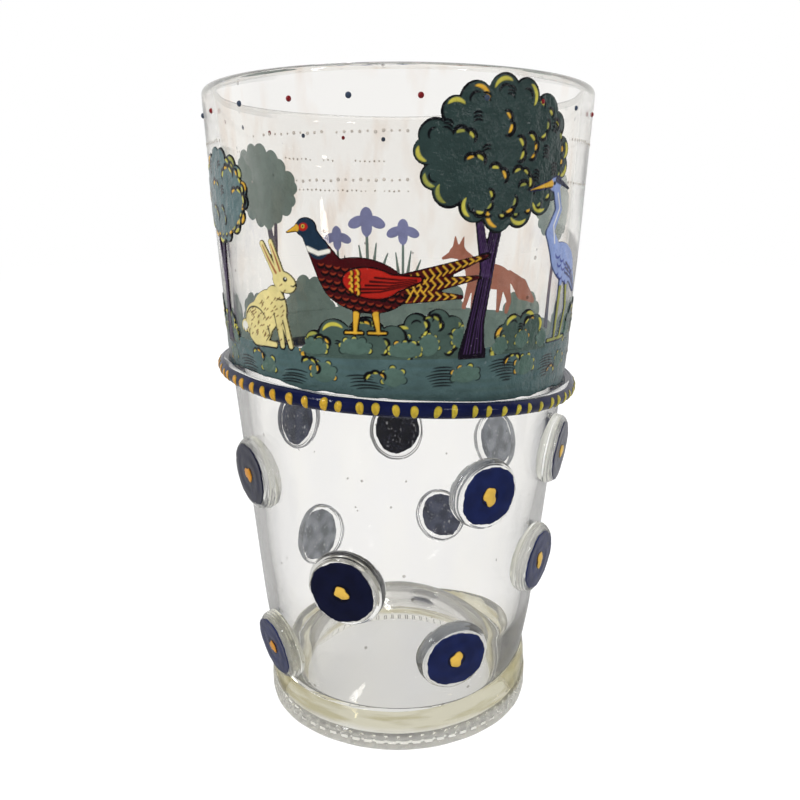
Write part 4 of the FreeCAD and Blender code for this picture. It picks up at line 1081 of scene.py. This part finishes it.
# Each dash is a drop: full and round above, pointed below, and a little aslant. Those at the left are the fullest.
def makeDashes():
    ball, faces = unitPebble(7, 14)
    count = thread["dashes"]
    loose = np.random.default_rng(5)
    turn = (np.arange(count) * 2 * math.pi / count + loose.normal(0, 0.008, count))[:, None]
    left = 0.5 - 0.5 * np.cos(turn + 0.5)
    wide = thread["dashWidth"] / 2 * loose.uniform(0.86, 1.16, count)[:, None] * (0.94 + 0.32 * left)
    reach = math.radians(thread["dashReach"]) * loose.uniform(0.88, 1.1, count)[:, None]
    lean = loose.uniform(-0.35, 0.35, count)[:, None]
    middle = np.radians(loose.uniform(-8, 4, count))[:, None] - 0.16
    across, along, high = ball[None, :, 0], ball[None, :, 1], ball[None, :, 2]
    drop = np.clip(0.86 + 0.3 * along, 0.3, 1.1)
    section = middle + along * reach
    place = turn + (across * wide * drop + lean * along) / thread["ring"]
    rise = domed(high, 1.0, 0.3) * thread["dashThick"]
    points = onThread(place, section, thread["tube"] + thread["coat"] + rise)
    middleTone = (1 - left) * np.array([light(180, 168, 56)]) + left * np.array([light(208, 132, 34)])
    edgeTone = np.array([[light(104, 100, 38)]])
    heart = np.clip((high - 0.25) / 0.35, 0, 1)[..., None]
    pale = clouds(place * 60, section * 3, 1.3, 3)[..., None]
    colours = edgeTone * (1 - heart) + middleTone[:, None, :] * heart * (0.82 + 0.36 * pale)
    newPiece("yellow_dashes", points.reshape(-1, 3), repeated(faces, count, len(ball)), paintedYellow,
             ["thread_dashes"], paint=colours.reshape(-1, 3))


# Twelve discs of glass, by angle, level (a share of the zone between foot and thread), size and tone of navy
discPlaces = [(-144.6, 0.864, 1.0, 1), (-62, 0.85, 0.94, 2), (-24, 0.935, 0.98, 0), (39.6, 0.737, 0.97, 2),
              (91.6, 0.72, 1.0, 1), (140.2, 0.864, 0.95, 0), (-107.8, 0.441, 1.03, 1), (-31.6, 0.441, 1.0, 2),
              (68.6, 0.236, 0.97, 0), (133.8, 0.182, 1.02, 2), (-146, 0.0, 1.02, 2), (-69.6, 0.106, 0.99, 2)]
disc = {
    "low": 28.7, "zone": 78.05, "radius": 12.6, "depth": 4.2, "roundWide": 2.5, "roundDeep": 3.4, "sunk": 1.7,
    "ridge": 0.05, "rib": 0.09, "ribTurns": 1.7, "line": 0.06, "lineTurns": 6.3, "tilt": 0.25, "columns": 96,
    "enamelRadius": 10.5, "enamel": 0.42, "bed": 0.1, "offset": 0.45, "dot": 2.45, "dotThick": 0.6,
    "orange": (0, 3, 8, 10), "navies": [(14, 20, 58), (9, 14, 42), (20, 31, 76)],
    "unders": [(80, 84, 104), (15, 17, 34), (150, 154, 164)],
}


# The frame of a disc: its middle on the wall, and unit ways to the right, up the wall and outwards
def discFrame(angle, share):
    level = disc["low"] + disc["zone"] * share
    turn = math.radians(angle)
    slope = float(wallRadius(level + 1) - wallRadius(level - 1)) / 2
    out = np.array([math.cos(turn), math.sin(turn), -slope])
    out /= np.linalg.norm(out)
    right = np.array([-math.sin(turn), math.cos(turn), 0])
    radius = float(wallRadius(level))
    return np.array([radius * math.cos(turn), radius * math.sin(turn), level]), right, np.cross(out, right), out


# Points of a disc, as across, along and high, in its frame
def inFrame(points, place, right, up, out):
    return place + points[:, :1] * right + points[:, 1:2] * up + points[:, 2:] * out


# A pressed disc: flat on top, round at its shoulder with fine ridges, one broad rib and fine lines down its side,
# tilted a little and not quite a circle. Its enamel has an uneven edge and a paler underside, seen through the glass.
def makeDisc(number, angle, share, size, tone):
    loose = np.random.default_rng(100 + number)
    place, right, up, out = discFrame(angle, share)
    radius, depth = disc["radius"] * size, disc["depth"] * loose.uniform(0.94, 1.02)
    wide, deep = disc["roundWide"], disc["roundDeep"]
    shoulder = np.linspace(0, math.pi / 2, 12)
    chain = [(0, -disc["sunk"]), (radius * 0.97, -disc["sunk"]), (radius - 0.15, -0.2)]
    chain += [(radius - wide + wide * math.cos(a), depth - deep + deep * math.sin(a)) for a in shoulder]
    chain += [(radius - wide - 0.9, depth - 0.12), (0, depth - 0.1)]
    chain = walked(softened(chain, 0.25, 0.08), 0.8, 0.16)
    chain[0, 0] = chain[-1, 0] = 0
    chain = finer(chain, (chain[:, 0] > radius - 0.9) & (chain[:, 1] > 0), 3)
    phases = loose.uniform(0, 2 * math.pi, 4)

    def warp(s, h, turn):
        oval = 1 + 0.014 * np.sin(2 * turn + phases[0]) + 0.01 * np.sin(3 * turn + phases[1]) \
            + 0.004 * np.sin(11 * turn + phases[2])
        ridges = disc["ridge"] * np.sin(s * 9 + turn) * np.clip((s - radius + 3) / 1.5, 0, 1) * (h > 0)
        tilt = disc["tilt"] * np.sin(turn + phases[3]) * s / radius * (h > 0)
        side = np.clip((s - radius + 2.2), 0, 1) * np.clip(h / 0.4, 0, 1) * np.clip((depth - 0.5 - h) / 0.4, 0, 1)
        lines = disc["line"] * np.sin(h * disc["lineTurns"] + np.sin(2 * turn) + phases[2])
        ribs = disc["rib"] * np.sin(h * disc["ribTurns"] + turn + phases[0])
        return s * oval + (ribs + lines * np.sin(turn + phases[1]) ** 2) * side, h + ridges + tilt

    points, faces = turned(chain, disc["columns"], warp)
    middles = np.concatenate([points[group].mean(axis=1) for group in faces])
    world = inFrame(middles, place, right, up, out)
    buried = np.hypot(world[:, 0], world[:, 1]) < wallRadius(world[:, 2]) + 0.02
    newPiece("glass_disc_%02d" % number, inFrame(points, place, right, up, out), faces, discGlass,
             ["disc_%02d" % number], buried.astype(float))

    edge = disc["enamelRadius"] * size
    chain = [(0, -0.12), (edge, -0.12), (edge + 0.05, 0.0)]
    chain += [(edge - 0.5 + 0.5 * math.cos(a), disc["enamel"] * 0.75 * math.sin(a)) for a in shoulder]
    chain += [(edge * 0.6, disc["enamel"] * 0.95), (0, disc["enamel"])]
    rows = walked(chain, 0.33, 0.3)
    rows[0, 0] = rows[-1, 0] = 0
    shift = loose.uniform(-1, 1, 2) * disc["offset"]

    def coatWarp(s, h, turn):
        nicks = 0.22 * np.sin(4 * turn + phases[1]) + 0.12 * np.sin(9 * turn + phases[2]) \
            + 0.08 * np.sin(19 * turn + phases[0]) + 0.05 * np.sin(37 * turn)
        tilt = disc["tilt"] * np.sin(turn + phases[3]) * s / radius
        return s * (1 + nicks / edge), h + tilt + 0.05 * np.sin(s * 1.3 + turn) * (h > 0.1)

    points, faces = turned(rows, disc["columns"], coatWarp)
    away, heading = np.hypot(points[:, 0], points[:, 1]), np.arctan2(points[:, 1], points[:, 0])
    below = (points[:, 2] - disc["tilt"] * np.sin(heading + phases[3]) * away / radius < -0.04)[:, None]
    points = points + [shift[0], shift[1], depth - disc["bed"]]
    mottle = clouds(points[:, 0], points[:, 1], 7.0, number)[:, None]
    navy = np.array(light(*disc["navies"][tone])) * (0.86 + 0.3 * mottle)
    ring = np.exp(-((away - disc["dot"] * 1.15) / 0.3) ** 2)[:, None]
    navy = navy * (1 - 0.9 * ring)
    specks = (clouds(points[:, 0], points[:, 1], 1.9, number + 50, 15) ** 14
              * clouds(points[:, 0], points[:, 1], 6.0, number + 80, 7) ** 3)[:, None]
    under = np.array(light(*disc["unders"][tone])) * (0.7 + 0.6 * mottle) + specks * 0.55
    newPiece("navy_disc_%02d" % number, inFrame(points, place, right, up, out), faces, navyDisc,
             ["disc_%02d_enamel" % number], paint=np.where(below, under, navy))
    return place, right, up, out, depth, shift, phases


# An amber drop in the middle of each disc, with a dark edge
def makeDots(frames):
    ball, faces = unitPebble(11, 28)
    groups, colours = [], []
    for number, (place, right, up, out, depth, shift, phases) in enumerate(frames):
        turn = np.arctan2(ball[:, 1], ball[:, 0])
        size = disc["dot"] * (1 + 0.12 * np.sin(2 * turn + phases[0]) + 0.1 * np.sin(3 * turn + phases[1])
                              + 0.07 * np.sin(5 * turn + phases[3]))
        tall = 1.12 + 0.18 * math.sin(phases[2])
        high = domed(ball[:, 2], disc["dotThick"], 0.2) + depth - disc["bed"] + disc["enamel"]
        points = np.stack([ball[:, 0] * size + shift[0], ball[:, 1] * size * tall + shift[1], high], axis=-1)
        groups.append(inFrame(points, place, right, up, out))
        heart = np.clip((ball[:, 2] - 0.1) / 0.25, 0, 1)[:, None]
        tone = light(206, 140, 48) if number in disc["orange"] else light(226, 184, 82)
        colours.append(np.array(light(70, 44, 18)) * (1 - heart) + np.array(tone) * heart)
    newPiece("amber_dots", np.vstack(groups), repeated(faces, len(frames), len(ball)), paintedAmber,
             ["disc_dots"], paint=np.vstack(colours))


# Enamel beads under the rim: low domes, each with its own size and a slightly uneven outline
beads = {"radius": 0.86, "high": 0.85, "turn": -3.0, "count": 22, "ring": 65.0}


def makeBeads():  # blue and red in turn
    ball, faces = unitPebble(8, 16)
    level = float(boxOf("beads_red")[0][2] + boxOf("beads_red")[1][2]) / 2
    loose = np.random.default_rng(8)
    for kind, (name, node, slotName) in enumerate([("blue_beads", "beads_blue", "grey_blue_enamel"),
                                                   ("red_beads", "beads_red", "red_enamel")]):
        number = np.arange(kind, beads["count"], 2)
        angle = np.radians(beads["turn"] + 360 * number / beads["count"] + loose.uniform(-0.5, 0.5, len(number)))
        size = beads["radius"] * loose.uniform(0.82, 1.12, len(number))[:, None]
        heights = level + loose.uniform(-0.35, 0.35, len(number))[:, None]
        turn = angle[:, None] + ball[None, :, 0] * size / beads["ring"]
        z = heights + ball[None, :, 1] * size
        points = around(wallRadius(z) + domed(ball[:, 2], beads["high"], 0.3)[None] * size, turn, z).reshape(-1, 3)
        newPiece(name, points, repeated(faces, len(number), len(ball)), coats[slotName], [node])


# Worn gilt dots in two rows under the beads, left out where a tree covers them or where they have rubbed off
gilt = {"levels": [202.5, 190.0], "radius": 0.46, "high": 0.08, "pitch": 2.15, "kept": 0.5, "ring": 64.7}


def makeGilt():
    ball, faces = unitPebble(3, 8)
    loose = np.random.default_rng(21)
    places = []
    for level in gilt["levels"]:
        count = int(2 * math.pi * beads["ring"] / gilt["pitch"])
        angle = np.arange(count) * 2 * math.pi / count
        worn = clouds(angle * 30, 0 * angle + level, 22, int(level)) * 0.9 + loose.uniform(0, 0.45, count)
        places += [(a, level + loose.uniform(-0.2, 0.2)) for a, wear in zip(angle, worn) if wear > 1 - gilt["kept"]]
    places = np.array(places)
    row = np.clip(((places[:, 1] - canvas["low"]) / canvas["pitch"]).astype(int), 0, len(picture.levels) - 1)
    column = ((places[:, 0] + math.pi) / (2 * math.pi) * picture.columns).astype(int) % picture.columns
    covered = np.minimum.reduce([edge[row, column] for edge in picture.edges.values()]) < gilt["radius"] + 0.3
    places = places[~covered]
    size = gilt["radius"] * loose.uniform(0.7, 1.15, len(places))[:, None]
    z = places[:, 1:] + ball[None, :, 1] * size
    turn = places[:, :1] + ball[None, :, 0] * size / gilt["ring"]
    points = around(wallRadius(z) + ball[None, :, 2] * gilt["high"], turn, z).reshape(-1, 3)
    newPiece("gilt_dots", points, repeated(faces, len(places), len(ball)), giltFinish)
    print("gilt dots:", len(places))


navyCoat = enamelFinish("navyCoat", light(16, 22, 58), 0.7, 1.35, 0.08)
navyDisc = enamelFinish("navyDisc", None, 0.9, 1.12, 0.14)
paintedYellow = enamelFinish("paintedYellow", None, 0.85, 1.15, 0.12)
paintedAmber = enamelFinish("paintedAmber", None, 0.85, 1.15, 0.05)
giltFinish = enamelFinish("wornGilt", light(186, 178, 168), 0.8, 1.15, 0.45)
discGlass = glassFinish("discGlass", discLook)
makeThread()
makeDashes()
discFrames = [makeDisc(number, *row) for number, row in enumerate(discPlaces, start=1)]
# The body's own glass lets light straight through under each disc, where both are one
underDiscs = [(tuple((found[0] * mm).tolist()), disc["radius"] * row[2] * 0.985 * mm)
              for found, row in zip(discFrames, discPlaces)]
bodyPiece.data.materials[0] = glassFinish("bodyGlass", glassLook, underDiscs)
makeDots(discFrames)
makeBeads()
makeGilt()
print("thread, discs and beads")

studio = {
    "floorRadius": 2500.0, "floorWhite": 0.88, "floorShade": 0.24, "floorBounce": 0.75, "floorBack": 0.42,
    "roomFront": 0.08, "roomBack": 0.88, "skyLevel": 0.5,
    "cameraPlace": (0.6, -283.0, 182.9), "pitch": 13.92, "lens": 35.08,
    "lamps": [((-520, -520, 700), 520, 8.0), ((640, -260, 420), 420, 4.0), ((120, 620, 760), 500, 5.0)],
    "glints": [((0.84, -0.52, 0.05), 0.04, 0.05), ((0.5, -0.72, 0.27), 0.05, 0.035),
               ((-0.62, -0.58, 0.5), 0.05, 0.17), ((-0.12, 0.8, 0.58), 0.035, 0.1)],
    "glintLevel": 14.0,
}


# White shows in full through the glass. What the glass has mirrored is dim, most of all towards the viewer.
def cardWhite(finish, path, back, farLevel):
    room = finish.greys(back * 0.5 + 0.5, 0.42, 0.6, studio["roomFront"], farLevel)
    return finish.mixColour(path.output("Glossy Depth") > 0.5, grey(1.0), room)


# The sky is white to the camera, dim overhead to what comes through the glass, darker still as seen in a gloss, and
# plain to soft light. Small bright ovals in it, each a way and two half sizes, make the glints on glass and enamel.
def makeWorld():
    world = bpy.data.worlds.new("studioLight")
    bpy.context.scene.world = world
    finish = Finish(world)
    direction = finish.node("ShaderNodeTexCoord", output="Generated")
    rise = finish.node("ShaderNodeSeparateXYZ", {}, {0: direction}, "Z")
    path = finish.node("ShaderNodeLightPath")
    through = finish.ramp(rise, [(0.0, grey(1)), (0.46, grey(1)), (0.66, (0.42, 0.42, 0.43)),
                                 (1.0, (0.3, 0.3, 0.31))])
    back = rise.output("Y")
    through = finish.mixColour(1.0, through, cardWhite(finish, path, back, studio["roomBack"]), "MULTIPLY")
    mirrored = finish.ramp(back * 0.5 + 0.5, [(0.44, (0.08, 0.08, 0.09)), (0.62, grey(0.66))])
    mirrored = finish.mixColour(1.0, mirrored, finish.greys(rise, 0.3, 0.8, 1, 0.5), "MULTIPLY")
    for way, wide, tall in studio["glints"]:
        way = np.array(way) / np.linalg.norm(way)
        across = np.cross(way, (0, 0, 1)) / np.linalg.norm(np.cross(way, (0, 0, 1)))
        ahead, aside, above = [
            finish.node("ShaderNodeVectorMath", {"operation": "DOT_PRODUCT"}, {0: direction, 1: tuple(axis.tolist())},
                        "Value") for axis in (way, across, np.cross(across, way))]
        spot = (ahead > 0) * ((aside / wide) * (aside / wide) + (above / tall) * (above / tall) < 1)
        mirrored, through = [finish.mixColour(spot, seen, grey(studio["glintLevel"])) for seen in (mirrored, through)]
    seen = finish.mixColour(path.output("Is Glossy Ray"), grey(studio["skyLevel"]), mirrored)
    seen = finish.mixColour(path.output("Is Transmission Ray"), seen, through)
    seen = finish.mixColour(path.output("Is Camera Ray"), seen, grey(1.0))
    sky = finish.node("ShaderNodeBackground", {}, {"Color": seen, "Strength": 1.0})
    finish.node("ShaderNodeOutputWorld", {}, {"Surface": sky})


# A white card that glows to the camera and through the glass, keeps the beaker's shadow, and is dim in a gloss. Seen
# through the glass it also carries a painted shadow, darker near the beaker's axis.
def makeFloor():
    turn = np.linspace(0, 2 * math.pi, 96, endpoint=False)
    rim = np.stack([np.cos(turn), np.sin(turn), 0 * turn], axis=-1) * studio["floorRadius"]
    rim[:, 2] = -0.05
    mesh = bpy.data.meshes.new("studio_floor")
    mesh.from_pydata((rim * mm).tolist(), [], [list(range(96))])
    floor = bpy.data.objects.new("studio_floor", mesh)
    bpy.context.scene.collection.objects.link(floor)
    finish = newFinish("studioFloor")
    path = finish.node("ShaderNodeLightPath")
    place = finish.node("ShaderNodeTexCoord", output="Object")
    away = finish.node("ShaderNodeVectorMath", {"operation": "LENGTH"}, {0: place}, "Value")
    back = finish.node("ShaderNodeSeparateXYZ", {}, {0: place}, "Y")
    # Painted shadow: the floor as the glass shows it is 0.7 as bright within 40 mm of the axis, rising to full at 80
    # mm
    paintedShadow = finish.greys(away * 10, 0.4, 0.8, 0.7, 1)
    white = cardWhite(finish, path, back * 4, studio["floorBack"])
    sent = paintedShadow * white
    mirrored = finish.greys(back * 2 + 0.5, 0.3, 0.62, 0.04, 0.42)
    through = path.output("Is Transmission Ray") * (1 - path.output("Is Camera Ray"))
    seen = path.output("Is Camera Ray") | through
    gloss = path.output("Is Glossy Ray")
    level = (1 - through + through * sent) * seen * studio["floorWhite"] + (1 - seen) * gloss * mirrored
    glow = finish.node("ShaderNodeEmission", {}, {"Color": grey(1.0), "Strength": level})
    card = finish.mixColour(gloss, grey(studio["floorBounce"]), grey(0.07))
    card = finish.mixColour(seen, card, finish.mixColour(1.0, grey(studio["floorShade"]), white, "MULTIPLY"))
    paper = finish.node("ShaderNodeBsdfDiffuse", {}, {"Color": card})
    both = finish.node("ShaderNodeAddShader", {}, {0: glow, 1: paper})
    finish.node("ShaderNodeOutputMaterial", {}, {"Surface": both})
    mesh.materials.append(finish.owner)


# Places a lamp and turns it so that it looks at the target
def aim(item, place, target):
    place, target = np.array(place, float) * mm, np.array(target, float) * mm
    away = target - place
    item.location = place
    item.rotation_euler = (math.pi / 2 + math.atan2(away[2], math.hypot(away[0], away[1])), 0,
                           math.atan2(-away[0], away[1]))


# Soft round lamps: each one's power is its brightness times pi times its area
def makeLamps():
    for number, (place, size, brightness) in enumerate(studio["lamps"], start=1):
        lamp = bpy.data.lights.new("softLamp%d" % number, "AREA")
        lamp.shape, lamp.size = "DISK", size * mm
        lamp.energy = brightness * math.pi * math.pi * (size * mm / 2) ** 2
        item = bpy.data.objects.new("softLamp%d" % number, lamp)
        bpy.context.scene.collection.objects.link(item)
        item.visible_glossy = item.visible_transmission = False
        aim(item, place, (0, 0, 110))


def makeCamera():
    lens = bpy.data.cameras.new("camera")
    lens.lens, lens.sensor_width, lens.clip_start = studio["lens"], 36, 0.01
    camera = bpy.data.objects.new("camera", lens)
    camera.location = [value * mm for value in studio["cameraPlace"]]
    camera.rotation_euler = (math.radians(90 - studio["pitch"]), 0, 0)
    bpy.context.scene.collection.objects.link(camera)
    bpy.context.scene.camera = camera


makeWorld()
makeFloor()
makeLamps()
makeCamera()
scene = bpy.context.scene
scene.view_settings.view_transform = "Standard"
scene.cycles.max_bounces = 24
scene.cycles.glossy_bounces = 12
scene.cycles.transmission_bounces = 20
scene.cycles.transparent_max_bounces = 32

print("ready")
